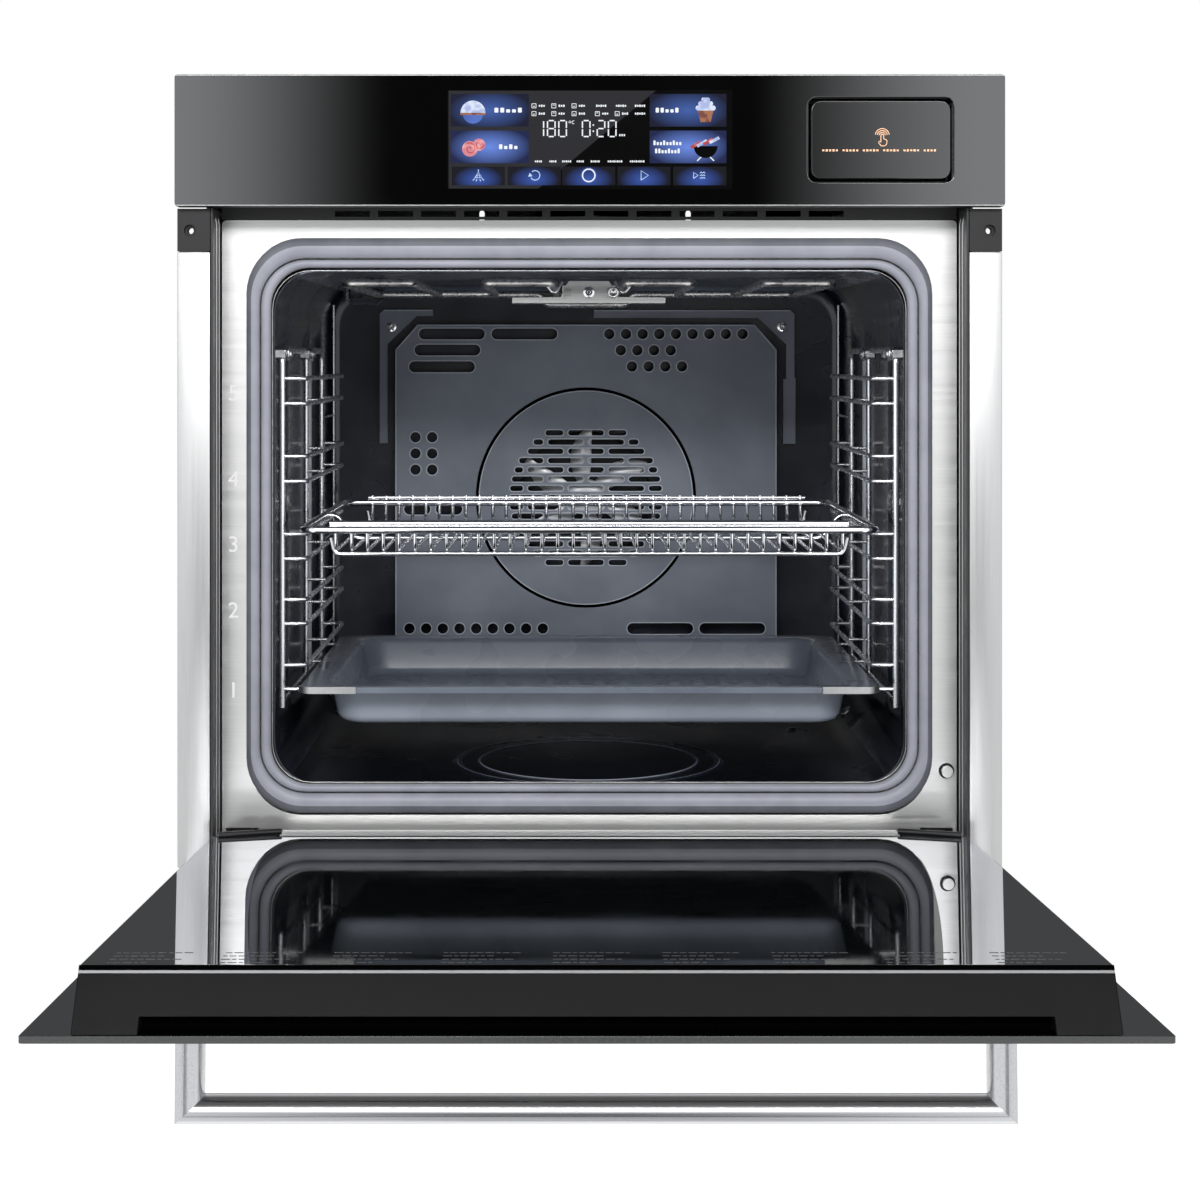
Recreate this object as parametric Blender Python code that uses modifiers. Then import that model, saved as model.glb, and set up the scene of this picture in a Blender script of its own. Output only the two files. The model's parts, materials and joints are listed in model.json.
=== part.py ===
"""Built-in wall oven with a drop-down glass door, as separate named parts.

Metres, +Z up, the front faces -Y. The origin is on the underside of the base plate.
Lengths along Y are written from the face of the steel front frame, which lies
FRAME_TO_ORIGIN in front of the origin. Everything hangs on one empty for each
rigid body, and a moving body's empty sits on its joint's axis.
"""

from math import cos, pi, radians, sin

import bmesh
import bpy
from mathutils import Matrix, Vector

# ---------------------------------------------------------------- driving dimensions
FRAME_TO_ORIGIN = 0.260
GAP = 0.0003  # clearance left between pieces that touch
SHEET = 0.001  # thickness of the sheet-metal casing

HALF_FRONT = 0.2975  # half of the 595 mm front
CASE_HALF = 0.278
CASE_FRONT = -0.0215
CASE_REAR = 0.520
CASE_TOP = 0.572
CASE_SIDE_BOTTOM = 0.004

PANEL_FRONT = -0.042
PANEL_Z = (0.4855, 0.580)
GLASS = 0.004

FRAME_HALF = 0.270
FRAME_Z = (0.006, 0.478)
FRAME_OPENING_HALF = 0.250
FRAME_OPENING_Z = (0.041, 0.465)
FRAME_OPENING_RADIUS = 0.038

CAVITY_HALF = 0.2325
CAVITY_Z = (0.063, 0.441)
CAVITY_RADIUS = 0.029
CAVITY_BULGE = 0.003  # the muffle widens by this much behind its lip
CAVITY_DEPTH = 0.4025

TRIM_X = (0.2735, 0.297)
TRIM_Y = (-0.033, -0.022)
TRIM_Z = (0.0093, 0.4530)
BLOCK_Z = (0.4536, 0.4843)
BLOCK_HOLE = (0.288, 0.4685)

VENT_Z = (0.4785, 0.4925)
VENT_SLOT_Z = (0.4807, 0.4850)
VENT_SLOTS = 12
VENT_HALF = 0.190

FAN_CENTRE_Z = 0.250
FAN_COVER_FRONT = 0.3846
FAN_COVER_HALF = 0.1735
FAN_COVER_Z = (0.1224, 0.4074)
FAN_COVER_CHAMFER = (0.020, 0.0227)
FAN_GRILLE_RADIUS = 0.0695
GRILLE_ROWS = 15
GRILLE_ROW_PITCH = 0.00842
GRILLE_SLOT = (0.0323, 0.0050)
GRILLE_COLUMN_PITCH = 0.0367

TANK_CENTRE = (0.2084, 0.533)
TANK_HOLE_HALF = (0.0525, 0.0308)
TANK_COVER_HALF = (0.0497, 0.0278)

LADDER_X = 0.2305
RUNG_X = 0.2120
LADDER_Y = (0.035, 0.186, 0.295)
LADDER_Z = (0.1185, 0.3730)
LADDER_WIRE = 0.0018
RUNG_PAIRS = ((0.3613, 0.3425), (0.3030, 0.2842), (0.2446, 0.2261), (0.1954, 0.1773), (0.1463, 0.1283))

RACK_HALF = 0.2130
RACK_Y = (0.0105, 0.3180)
RACK_Z = 0.2497
RACK_WIRE = 0.0030
RACK_RIM_Z = 0.2542
RACK_GRID_Z = 0.2340
RACK_BARS = 33
RACK_BAR_PITCH = 0.01175

TRAY_HALF = (0.2155, 0.1555)
TRAY_CENTRE_Y = 0.1635
TRAY_RIM_Z = 0.1332
TRAY_FLOOR_Z = 0.1030

DOOR_PIVOT = (-0.024, 0.0157)
DOOR_OPEN = 86.7
DOOR_OUTER = -0.018  # outer face of the outer glass, from the pivot
DOOR_INNER = 0.018  # inner face of the inner glass, from the pivot
DOOR_TOP = 0.4658
DOOR_BOTTOM = -0.0307
DOOR_HALF = 0.2705
HINGE_X = (0.2430, 0.2680)

HANDLE_HALF = 0.2236
HANDLE_Z = 0.4158
HANDLE_REACH = 0.0520
HANDLE_BAR = (0.0129, 0.0200)
POST_WIDTH = 0.0140

SWITCH = (0.2625, 0.0733)
BLOWER_Y = 0.385


# ---------------------------------------------------------------- scene and helpers
def clear_scene():
    for obj in list(bpy.data.objects):
        bpy.data.objects.remove(obj)


def new_collection(name):
    collection = bpy.data.collections.new(name)
    bpy.context.scene.collection.children.link(collection)
    return collection


def make_material(name, colour, roughness, metallic=0.0, alpha=1.0):
    material = bpy.data.materials.new(name)
    material.use_nodes = True
    shader = material.node_tree.nodes["Principled BSDF"]
    shader.inputs["Base Color"].default_value = (*colour, 1.0)
    shader.inputs["Roughness"].default_value = roughness
    shader.inputs["Metallic"].default_value = metallic
    shader.inputs["Alpha"].default_value = alpha
    return material


clear_scene()
PARTS = new_collection("wall_oven")
CUTTERS = new_collection("cutters")

GALVANISED = make_material("galvanised", (0.55, 0.56, 0.57), 0.4, 0.9)
BRUSHED = make_material("brushed_steel", (0.72, 0.72, 0.71), 0.3, 1.0)
TRIM_STEEL = make_material("trim_steel", (0.80, 0.80, 0.80), 0.35, 0.9)
CHROME = make_material("chrome_wire", (0.80, 0.81, 0.82), 0.12, 1.0)
ENAMEL = make_material("blue_black_enamel", (0.020, 0.024, 0.035), 0.25)
SEAL = make_material("grey_silicone", (0.13, 0.14, 0.17), 0.45)
BLACK_GLASS = make_material("black_glass", (0.01, 0.01, 0.01), 0.05)
CLEAR_GLASS = make_material("clear_glass", (0.6, 0.65, 0.65), 0.05, 0.0, 0.35)
BLACK_PLASTIC = make_material("black_plastic", (0.02, 0.02, 0.02), 0.4)
DARK_METAL = make_material("dark_metal", (0.07, 0.07, 0.07), 0.45, 0.5)
BOARD = make_material("circuit_board", (0.03, 0.18, 0.08), 0.5)
WOOL = make_material("mineral_wool", (0.75, 0.72, 0.62), 0.95)
HOSE = make_material("white_silicone", (0.85, 0.85, 0.83), 0.5)
TANK_PLASTIC = make_material("clear_plastic", (0.75, 0.80, 0.85), 0.15, 0.0, 0.5)


def new_body(name, y, z, tilt=0.0):
    """The empty that one rigid body hangs on, at (0, y, z) from the front frame's foot."""
    body = bpy.data.objects.new(name, None)
    PARTS.objects.link(body)
    body.location = (0, y - FRAME_TO_ORIGIN, z)
    body.rotation_euler = (radians(tilt), 0, 0)
    return body


CASING = new_body("casing_body", 0, 0)
DOOR = new_body("door_body", *DOOR_PIVOT, DOOR_OPEN)
RACK = new_body("rack_body", 0, 0)
TRAY = new_body("tray_body", 0, 0)
TANK = new_body("tank_body", 0, 0)
FAN = new_body("fan_body", FAN_COVER_FRONT, FAN_CENTRE_Z)
IMPELLER = new_body("impeller_body", BLOWER_Y, 0)
PLUNGER = new_body("plunger_body", 0, 0)


def place(obj, body, material=None):
    """Hangs a finished object on its body and gives it its material."""
    for collection in list(obj.users_collection):
        collection.objects.unlink(obj)
    PARTS.objects.link(obj)
    obj.parent = body
    if material:
        obj.data.materials.clear()
        obj.data.materials.append(material)
    return obj


def as_cutter(obj):
    obj.hide_render = True
    obj.display_type = "WIRE"
    PARTS.objects.unlink(obj)
    CUTTERS.objects.link(obj)
    return obj


def box(name, x, y, z, body, material=None, bevel=0.0):
    """A box between pairs of X, Y and Z limits, with its scale applied."""
    bm = bmesh.new()
    bmesh.ops.create_cube(bm, size=1)
    size = Vector((x[1] - x[0], y[1] - y[0], z[1] - z[0]))
    centre = Vector((sum(x) / 2, sum(y) / 2, sum(z) / 2))
    bmesh.ops.scale(bm, vec=size, verts=bm.verts)
    bmesh.ops.translate(bm, vec=centre, verts=bm.verts)
    mesh = bpy.data.meshes.new(name)
    bm.to_mesh(mesh)
    bm.free()
    obj = place(bpy.data.objects.new(name, mesh), body, material)
    if bevel:
        modifier = obj.modifiers.new("edges", "BEVEL")
        modifier.width = bevel
        modifier.segments = 2
    return obj


AXIS_TURN = {
    "X": Matrix.Rotation(pi / 2, 4, "Y"),
    "Y": Matrix.Rotation(-pi / 2, 4, "X"),
    "Z": Matrix.Identity(4),
}


def cylinder(name, centre, axis, radius, length, body, material=None, sides=24, radius_end=None):
    """A cylinder or a cone about a row axis, with its middle at centre."""
    bm = bmesh.new()
    bmesh.ops.create_cone(
        bm,
        cap_ends=True,
        segments=sides,
        radius1=radius,
        radius2=radius if radius_end is None else radius_end,
        depth=length,
        matrix=Matrix.Translation(centre) @ AXIS_TURN[axis],
    )
    mesh = bpy.data.meshes.new(name)
    bm.to_mesh(mesh)
    bm.free()
    obj = place(bpy.data.objects.new(name, mesh), body, material)
    mesh.shade_smooth()
    mesh.set_sharp_from_angle(angle=radians(40))
    return obj


def rectangle(x, z, radius=0.0, steps=5):
    """Outline points of a rectangle between limits, with round corners."""
    if not radius:
        return [(x[0], z[0]), (x[1], z[0]), (x[1], z[1]), (x[0], z[1])]
    corners = (
        (x[1] - radius, z[1] - radius, 0),
        (x[0] + radius, z[1] - radius, 1),
        (x[0] + radius, z[0] + radius, 2),
        (x[1] - radius, z[0] + radius, 3),
    )
    return [
        (cx + radius * cos((quarter + i / steps) * pi / 2), cz + radius * sin((quarter + i / steps) * pi / 2))
        for cx, cz, quarter in corners
        for i in range(steps + 1)
    ]


def circle(x, z, radius, sides=12):
    return [(x + radius * cos(2 * pi * i / sides), z + radius * sin(2 * pi * i / sides)) for i in range(sides)]


FACING = {  # how a flat outline and its thickness lie in space
    "Y": (pi / 2, 0, 0),  # outline across X and Z, thickness along Y
    "X": (pi / 2, 0, pi / 2),  # outline across Y and Z, thickness along X
}


def plate(name, outlines, span, body, material=None, facing="Y"):
    """A flat outline with holes, as a filled 2D curve, between two limits on its thickness."""
    curve = bpy.data.curves.new(name, "CURVE")
    curve.dimensions = "2D"
    curve.fill_mode = "BOTH"
    curve.extrude = (span[1] - span[0]) / 2
    for outline in outlines:
        spline = curve.splines.new("POLY")
        spline.points.add(len(outline) - 1)
        spline.use_cyclic_u = True
        for point, (u, v) in zip(spline.points, outline):
            point.co = (u, v, 0, 1)
    obj = place(bpy.data.objects.new(name, curve), body, material)
    middle = sum(span) / 2
    obj.location = (0, middle, 0) if facing == "Y" else (middle, 0, 0)
    obj.rotation_euler = FACING[facing]
    return obj


def wire(name, points, radius, body, material=None, closed=False, resolution=1):
    """A round wire or tube along a path of points."""
    curve = bpy.data.curves.new(name, "CURVE")
    curve.dimensions = "3D"
    curve.bevel_depth = radius
    curve.bevel_resolution = resolution
    curve.use_fill_caps = True
    spline = curve.splines.new("POLY")
    spline.points.add(len(points) - 1)
    spline.use_cyclic_u = closed
    for point, place_ in zip(spline.points, points):
        point.co = (*place_, 1)
    return place(bpy.data.objects.new(name, curve), body, material)


def to_mesh(obj):
    """Turns a curve into a closed mesh, which a Boolean can use."""
    name, body = obj.name, obj.parent
    materials = [m for m in obj.data.materials if m]
    bpy.context.view_layer.update()
    graph = bpy.context.evaluated_depsgraph_get()
    mesh = bpy.data.meshes.new_from_object(obj.evaluated_get(graph))
    mesh.transform(obj.matrix_basis)
    bm = bmesh.new()
    bm.from_mesh(mesh)
    bmesh.ops.remove_doubles(bm, verts=bm.verts, dist=1e-6)
    bmesh.ops.recalc_face_normals(bm, faces=bm.faces)
    bm.to_mesh(mesh)
    bm.free()
    bpy.data.objects.remove(obj)
    made = bpy.data.objects.new(name, mesh)
    return place(made, body, materials[0] if materials else None)


def combine(target, others, operation):
    """Joins other meshes to a target or cuts them from it, all in one Boolean."""
    group = bpy.data.collections.new(target.name + "_" + operation.lower())
    CUTTERS.children.link(group)
    for other in others:
        as_cutter(other)
        CUTTERS.objects.unlink(other)
        group.objects.link(other)
    modifier = target.modifiers.new(operation.lower(), "BOOLEAN")
    modifier.operation = operation
    modifier.operand_type = "COLLECTION"
    modifier.collection = group
    modifier.solver = "EXACT"
    return target


def join(target, others):
    return combine(target, others, "UNION")


def cut(target, others):
    return combine(target, others, "DIFFERENCE")


def loft(name, rings, body, material, end_cap=False, closed=False, wall=0.0):
    """Bridges rings of equal point counts; end_cap fills the last one, wall is a Solidify outwards."""
    bm = bmesh.new()
    loops = [[bm.verts.new(point) for point in ring] for ring in rings]
    pairs = list(zip(loops, loops[1:]))
    if closed:
        pairs.append((loops[-1], loops[0]))
    count = len(loops[0])
    for first, second in pairs:
        for i in range(count):
            j = (i + 1) % count
            bm.faces.new((first[i], first[j], second[j], second[i]))
    if end_cap:
        bm.faces.new(loops[-1])
    bmesh.ops.recalc_face_normals(bm, faces=bm.faces)
    mesh = bpy.data.meshes.new(name)
    bm.to_mesh(mesh)
    bm.free()
    obj = place(bpy.data.objects.new(name, mesh), body, material)
    if wall:
        modifier = obj.modifiers.new("wall", "SOLIDIFY")
        modifier.thickness = abs(wall)
        modifier.offset = 1 if wall > 0 else -1
        modifier.use_even_offset = True
    return obj


def mirrored(pair):
    """The two limits of an X range on the left-hand side."""
    return (-pair[1], -pair[0])


SIDES = (("left", -1), ("right", 1))


def side_range(sign, pair):
    return pair if sign > 0 else mirrored(pair)


# ---------------------------------------------------------------- casing
def make_casing_shell():
    box("base_plate", (-0.2765, 0.2765), (0.010, 0.5185), (0, SHEET), CASING, GALVANISED)
    for side, sign in SIDES:
        box(
            "side_panel_" + side,
            side_range(sign, (CASE_HALF - SHEET, CASE_HALF)),
            (CASE_FRONT, 0.5187),
            (CASE_SIDE_BOTTOM, CASE_TOP - SHEET - GAP),
            CASING,
            GALVANISED,
        )
    top = (CASE_TOP - SHEET, CASE_TOP)
    box("top_cover", (-CASE_HALF, CASE_HALF), (CASE_FRONT, CASE_REAR), top, CASING, GALVANISED)
    slots = [
        rectangle((x - 0.0025, x + 0.0025), (0.470, 0.520), 0.0024, 3)
        for x in [-0.10 + 0.02 * i for i in range(11)]
    ]
    inlet = circle(0.205, 0.520, 0.0115, 16)
    outline = rectangle((-0.2765, 0.2765), (0.0015, CASE_TOP - SHEET - GAP))
    plate("rear_cover", [outline, inlet] + slots, (CASE_REAR - SHEET, CASE_REAR), CASING, GALVANISED)


def make_front_frame():
    outline = rectangle((-FRAME_HALF, FRAME_HALF), FRAME_Z, 0.003, 2)
    opening = rectangle((-FRAME_OPENING_HALF, FRAME_OPENING_HALF), FRAME_OPENING_Z, FRAME_OPENING_RADIUS, 8)
    slots = [rectangle(side_range(sign, (0.243, 0.267)), (0.0110, 0.0314)) for _, sign in SIDES]
    switch_hole = circle(*SWITCH, 0.0058, 16)
    plate("front_frame", [outline, opening, switch_hole] + slots, (0, SHEET), CASING, BRUSHED)


def make_side_trims():
    for side, sign in SIDES:
        span = side_range(sign, TRIM_X)
        trim = box("side_trim_" + side, span, TRIM_Y, TRIM_Z, CASING, TRIM_STEEL, bevel=0.0008)
        rebate_x = side_range(sign, (TRIM_X[0] - 0.001, CASE_HALF + 0.001))
        rebate = box("trim_rebate_" + side, rebate_x, (TRIM_Y[1] - 0.0005, 0.0), (0.0, 0.5), CASING)
        cut(trim, [rebate])
        block = box("mounting_block_" + side, span, TRIM_Y, BLOCK_Z, CASING, BLACK_PLASTIC)
        x, z = sign * BLOCK_HOLE[0], BLOCK_HOLE[1]
        hole = cylinder("block_hole_" + side, (x, sum(TRIM_Y) / 2, z), "Y", 0.0023, 0.03, CASING, sides=16)
        sink = cylinder("block_sink_" + side, (x, TRIM_Y[0], z), "Y", 0.0043, 0.006, CASING, sides=16)
        cut(block, [hole, sink])
        box(
            "groove_seal_" + side,
            side_range(sign, (0.2715, 0.2731)),
            (TRIM_Y[0] + 0.0005, -0.0005),
            (TRIM_Z[0], BLOCK_Z[1]),
            CASING,
            BLACK_PLASTIC,
        )


def make_vent_grille():
    pitch = 2 * VENT_HALF / VENT_SLOTS
    slots = [
        rectangle((-VENT_HALF + pitch * i + 0.003, -VENT_HALF + pitch * (i + 1) - 0.003), VENT_SLOT_Z)
        for i in range(VENT_SLOTS)
    ]
    plate("vent_grille", [rectangle((-FRAME_HALF, FRAME_HALF), VENT_Z)] + slots, (0, SHEET), CASING, DARK_METAL)


# ---------------------------------------------------------------- control panel
def tank_limits(half):
    return tuple((TANK_CENTRE[i] - half[i], TANK_CENTRE[i] + half[i]) for i in range(2))


def make_control_panel():
    outline = rectangle((-HALF_FRONT, HALF_FRONT), PANEL_Z, 0.002, 2)
    hole = rectangle(*tank_limits(TANK_HOLE_HALF), 0.0068, 3)
    glass_back = PANEL_FRONT + GLASS
    plate("fascia_glass", [outline, hole], (PANEL_FRONT, glass_back), CASING, BLACK_GLASS)

    front = glass_back + GAP
    housing = box(
        "fascia_housing",
        (-HALF_FRONT + GAP, HALF_FRONT - GAP),
        (front, CASE_FRONT - 2 * GAP),
        (PANEL_Z[0] + GAP, PANEL_Z[1] - GAP),
        CASING,
        DARK_METAL,
    )
    wall = 0.0015
    hollow = box(
        "housing_hollow",
        (-HALF_FRONT + wall, HALF_FRONT - wall),
        (front + wall, 0.0),
        (PANEL_Z[0] + wall, PANEL_Z[1] - wall),
        CASING,
    )
    window = box("display_window", (-0.1003, 0.1003), (-0.05, -0.03), (0.4982, 0.5688), CASING)
    tank_x, tank_z = tank_limits((0.0515, 0.0300))
    passage = box("tank_passage", tank_x, (-0.05, -0.03), tank_z, CASING)
    cut(housing, [hollow, window, passage])

    box("display_module", (-0.0998, 0.0998), (front, front + 0.008), (0.4987, 0.5683), CASING, BLACK_GLASS)
    board = box("control_board", (-0.125, 0.125), (-0.0285, -0.0269), (0.4960, 0.5690), CASING, BOARD)
    parts = [
        box("relay_" + str(i), (x, x + 0.018), (-0.0270, -0.0120), (0.505, 0.530), CASING)
        for i, x in enumerate((-0.11, -0.08, -0.05))
    ]
    parts.append(box("transformer", (0.04, 0.08), (-0.0270, -0.0020), (0.505, 0.545), CASING))
    join(board, parts)


def make_water_circuit():
    x, z = tank_limits((0.0515, 0.0300))
    inner_x, inner_z = tank_limits((0.0495, 0.0280))
    sleeve = box("tank_sleeve", x, (CASE_FRONT, 0.190), z, CASING, BLACK_PLASTIC)
    bay = box("sleeve_bay", inner_x, (-0.05, 0.186), inner_z, CASING)
    valve = cylinder("sleeve_valve_hole", (TANK_CENTRE[0], 0.19, 0.515), "Y", 0.004, 0.03, CASING, sides=12)
    cut(sleeve, [bay, valve])

    pump = cylinder("water_pump", (0.215, 0.235, 0.528), "Y", 0.018, 0.050, CASING, BLACK_PLASTIC, sides=16)
    foot = box("pump_foot", (0.195, 0.235), (0.215, 0.255), (0.500, 0.515), CASING)
    nozzle = cylinder("pump_nozzle", (0.2015, 0.225, 0.538), "X", 0.0030, 0.017, CASING, sides=12)
    join(pump, [foot, nozzle])

    boiler_at = (-0.165, 0.140, 0.532)
    boiler = cylinder("steam_generator", boiler_at, "X", 0.026, 0.110, CASING, GALVANISED, sides=16)
    flange = cylinder("boiler_flange", (-0.112, 0.140, 0.532), "X", 0.032, 0.006, CASING, sides=16)
    feet = box("boiler_feet", (-0.215, -0.120), (0.130, 0.150), (0.4960, 0.515), CASING)
    join(boiler, [flange, feet])

    start, end = Vector((0.1850, 0.225, 0.5380)), Vector((-0.0980, 0.150, 0.5450))
    steps = 14
    route = [
        (start.lerp(end, i / steps) + Vector((0, 0.030 * sin(pi * i / steps), 0.008 * sin(2 * pi * i / steps))))
        for i in range(steps + 1)
    ]
    route = [start + Vector((0.0077, 0, 0))] + route + [end - Vector((0.0104, 0, 0))]
    wire("water_hose", route, 0.0035, CASING, HOSE, resolution=2)


# ---------------------------------------------------------------- cavity
def cavity_ring(offset, y, radius):
    outline = rectangle(
        (-CAVITY_HALF - offset, CAVITY_HALF + offset),
        (CAVITY_Z[0] - offset, CAVITY_Z[1] + offset),
        radius,
        6,
    )
    return [(x, y, z) for x, z in outline]


HEATER_TERMINALS = ((-0.0265, 0.4335), (0.0265, 0.4335))
RING_TERMINALS = ((-0.012, FAN_CENTRE_Z + 0.096), (0.012, FAN_CENTRE_Z + 0.096))
LAMP = (-0.200, 0.372)


def make_cavity():
    rings = [
        cavity_ring(0.0240, 0.0040, 0.050),
        cavity_ring(0.0083, 0.0040, CAVITY_RADIUS + 0.008),
        cavity_ring(0.0070, 0.0008, CAVITY_RADIUS + 0.007),
        cavity_ring(0.0020, 0.0008, CAVITY_RADIUS + 0.002),
        cavity_ring(0.0, 0.0045, CAVITY_RADIUS),
        cavity_ring(0.0, 0.0160, CAVITY_RADIUS),
        cavity_ring(CAVITY_BULGE, 0.0220, CAVITY_RADIUS + CAVITY_BULGE),
        cavity_ring(CAVITY_BULGE, CAVITY_DEPTH - 0.012, CAVITY_RADIUS + CAVITY_BULGE),
        cavity_ring(CAVITY_BULGE - 0.012, CAVITY_DEPTH, CAVITY_RADIUS - 0.009),
    ]
    liner = loft("cavity_liner", rings, CASING, ENAMEL, end_cap=True, wall=SHEET)
    liner.modifiers["wall"].offset = 1 if liner_faces_out(liner) else -1
    holes = [cylinder("shaft_hole", (0, CAVITY_DEPTH, FAN_CENTRE_Z), "Y", 0.0065, 0.05, CASING, sides=12)]
    for i, (x, z) in enumerate(HEATER_TERMINALS + RING_TERMINALS):
        centre = (x, CAVITY_DEPTH, z)
        holes.append(cylinder("terminal_hole_" + str(i), centre, "Y", 0.0048, 0.05, CASING, sides=8))
    holes.append(cylinder("lamp_hole", (*LAMP, CAVITY_Z[1]), "Z", 0.0195, 0.05, CASING, sides=16))
    cut(liner, holes)

    wool = box("insulation", (-0.2555, 0.2555), (0.012, 0.432), (0.041, 0.4645), CASING, WOOL)
    hollow = box("wool_hollow", (-0.2400, 0.2400), (-0.01, 0.4105), (0.0505, 0.4465), CASING)
    motor_way = cylinder("wool_motor_way", (0, 0.42, FAN_CENTRE_Z), "Y", 0.013, 0.06, CASING, sides=12)
    lamp_way = cylinder("wool_lamp_way", (*LAMP, 0.46), "Z", 0.0205, 0.06, CASING, sides=16)
    ways = [
        cylinder("wool_way_" + str(i), (x, 0.42, z), "Y", 0.0055, 0.06, CASING, sides=8)
        for i, (x, z) in enumerate(HEATER_TERMINALS + RING_TERMINALS)
    ]
    cut(wool, [hollow, motor_way, lamp_way] + ways)

    outer = ((-0.2493, 0.2493), (0.0417, 0.4643), 0.0373)
    inner = ((-0.2415, 0.2415), (0.0550, 0.4495), 0.0375)

    def seal_ring(limits, inset, y):
        x, z, radius = limits
        shape = rectangle((x[0] + inset, x[1] - inset), (z[0] + inset, z[1] - inset), radius - inset, 6)
        return [(px, y, pz) for px, pz in shape]

    rings = [seal_ring(outer, 0, 0.0030), seal_ring(outer, 0.0015, -0.0036)]
    rings += [seal_ring(inner, -0.0015, -0.0036), seal_ring(inner, 0, 0.0030)]
    loft("door_seal", rings, CASING, SEAL, closed=True)


def liner_faces_out(obj):
    """True when the rear wall's normal points to the rear, away from the cavity."""
    rear = max(obj.data.polygons, key=lambda face: face.center.y)
    return rear.normal.y > 0


def grille_slots():
    """Slots in staggered rows inside a circle, each clipped to it."""
    slots = []
    for row in range(GRILLE_ROWS):
        dz = (row - (GRILLE_ROWS - 1) / 2) * GRILLE_ROW_PITCH
        reach = (FAN_GRILLE_RADIUS**2 - dz**2) ** 0.5
        shift = 0.0 if row % 2 == 0 else 0.5
        for column in range(-3, 4):
            middle = (column + shift) * GRILLE_COLUMN_PITCH
            low = max(middle - GRILLE_SLOT[0] / 2, -reach)
            high = min(middle + GRILLE_SLOT[0] / 2, reach)
            if high - low > 0.006:
                z = FAN_CENTRE_Z - dz
                slots.append(rectangle((low, high), (z - GRILLE_SLOT[1] / 2, z + GRILLE_SLOT[1] / 2)))
    return slots


def vent_holes():
    """The slots and round holes at the fan cover's corners, where the hot air comes out."""
    slots = []
    for x, z, length in (
        (-0.1520, 0.3988, 0.060),
        (-0.0860, 0.3988, 0.060),
        (-0.1560, 0.3842, 0.060),
        (-0.1610, 0.3690, 0.060),
        (-0.1655, 0.2395, 0.024),
        (-0.1365, 0.2395, 0.024),
        (0.0375, 0.1310, 0.060),
        (0.1030, 0.1310, 0.060),
    ):
        slots.append(rectangle((x, x + length), (z - 0.005, z + 0.005), 0.0045, 2))
    rows = (
        (0.0212, 0.3988, 9),
        (0.0316, 0.3840, 4),
        (0.0418, 0.3693, 4),
        (-0.1605, 0.1310, 9),
        (-0.1550, 0.3049, 2),
        (-0.1550, 0.2901, 2),
        (-0.1550, 0.2754, 2),
    )
    pitch = 0.01515
    holes = [circle(x + pitch * i, z, 0.0048, 8) for x, z, count in rows for i in range(count)]
    return slots + holes


def make_fan_group():
    def outline(inset):
        x, (low, high) = FAN_COVER_HALF - inset, FAN_COVER_Z
        low, high = low + inset, high - inset
        dx, dz = FAN_COVER_CHAMFER
        return [(-x, low), (x, low), (x, high - dz), (x - dx, high), (-x + dx, high), (-x, high - dz)]

    cover = to_mesh(
        plate("fan_cover", [outline(0)], (FAN_COVER_FRONT, CAVITY_DEPTH - 0.001), CASING, ENAMEL)
    )
    pocket = to_mesh(plate("fan_cover_pocket", [outline(SHEET)], (FAN_COVER_FRONT + SHEET, 0.42), CASING))
    openings = grille_slots() + vent_holes()
    reach = (FAN_COVER_FRONT - 0.01, FAN_COVER_FRONT + 0.01)
    holes = to_mesh(plate("fan_cover_holes", openings, reach, CASING))
    cut(cover, [pocket, holes])

    ring_y, ring_radius = 0.3945, 0.096
    start = 0.125
    arc = [
        (ring_radius * sin(a), ring_y, FAN_CENTRE_Z + ring_radius * cos(a))
        for a in [start + (2 * pi - 2 * start) * i / 30 for i in range(31)]
    ]
    end_z = FAN_CENTRE_Z + 0.0955
    ends = [(0.012, 0.440, end_z), (0.012, ring_y + 0.004, end_z)]
    route = ends + arc + [(-x, y, z) for x, y, z in reversed(ends)]
    wire("ring_heater", route, 0.0030, CASING, DARK_METAL)

    motor = cylinder("fan_motor", (0, 0.459, FAN_CENTRE_Z), "Y", 0.032, 0.046, CASING, GALVANISED)
    shaft = cylinder("motor_shaft", (0, 0.420, FAN_CENTRE_Z), "Y", 0.0036, 0.062, CASING, sides=12)
    join(motor, [shaft])

    hub = cylinder("convection_fan", (0, 0.0075, 0), "Y", 0.020, 0.0060, FAN, CHROME, sides=16)
    blades = []
    for i in range(7):
        blade = box("fan_blade_" + str(i), (0.012, 0.066), (0.0045, 0.0155), (-0.0008, 0.0008), FAN)
        blade.data.transform(Matrix.Rotation(2 * pi * i / 7, 4, "Y") @ Matrix.Rotation(0.35, 4, "X"))
        blades.append(blade)
    back = cylinder("fan_disc", (0, 0.0140, 0), "Y", 0.060, 0.0012, FAN, sides=24)
    join(hub, blades + [back])
    bore = cylinder("fan_bore", (0, 0.01, 0), "Y", 0.0040, 0.05, FAN, sides=12)
    cut(hub, [bore])


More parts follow.
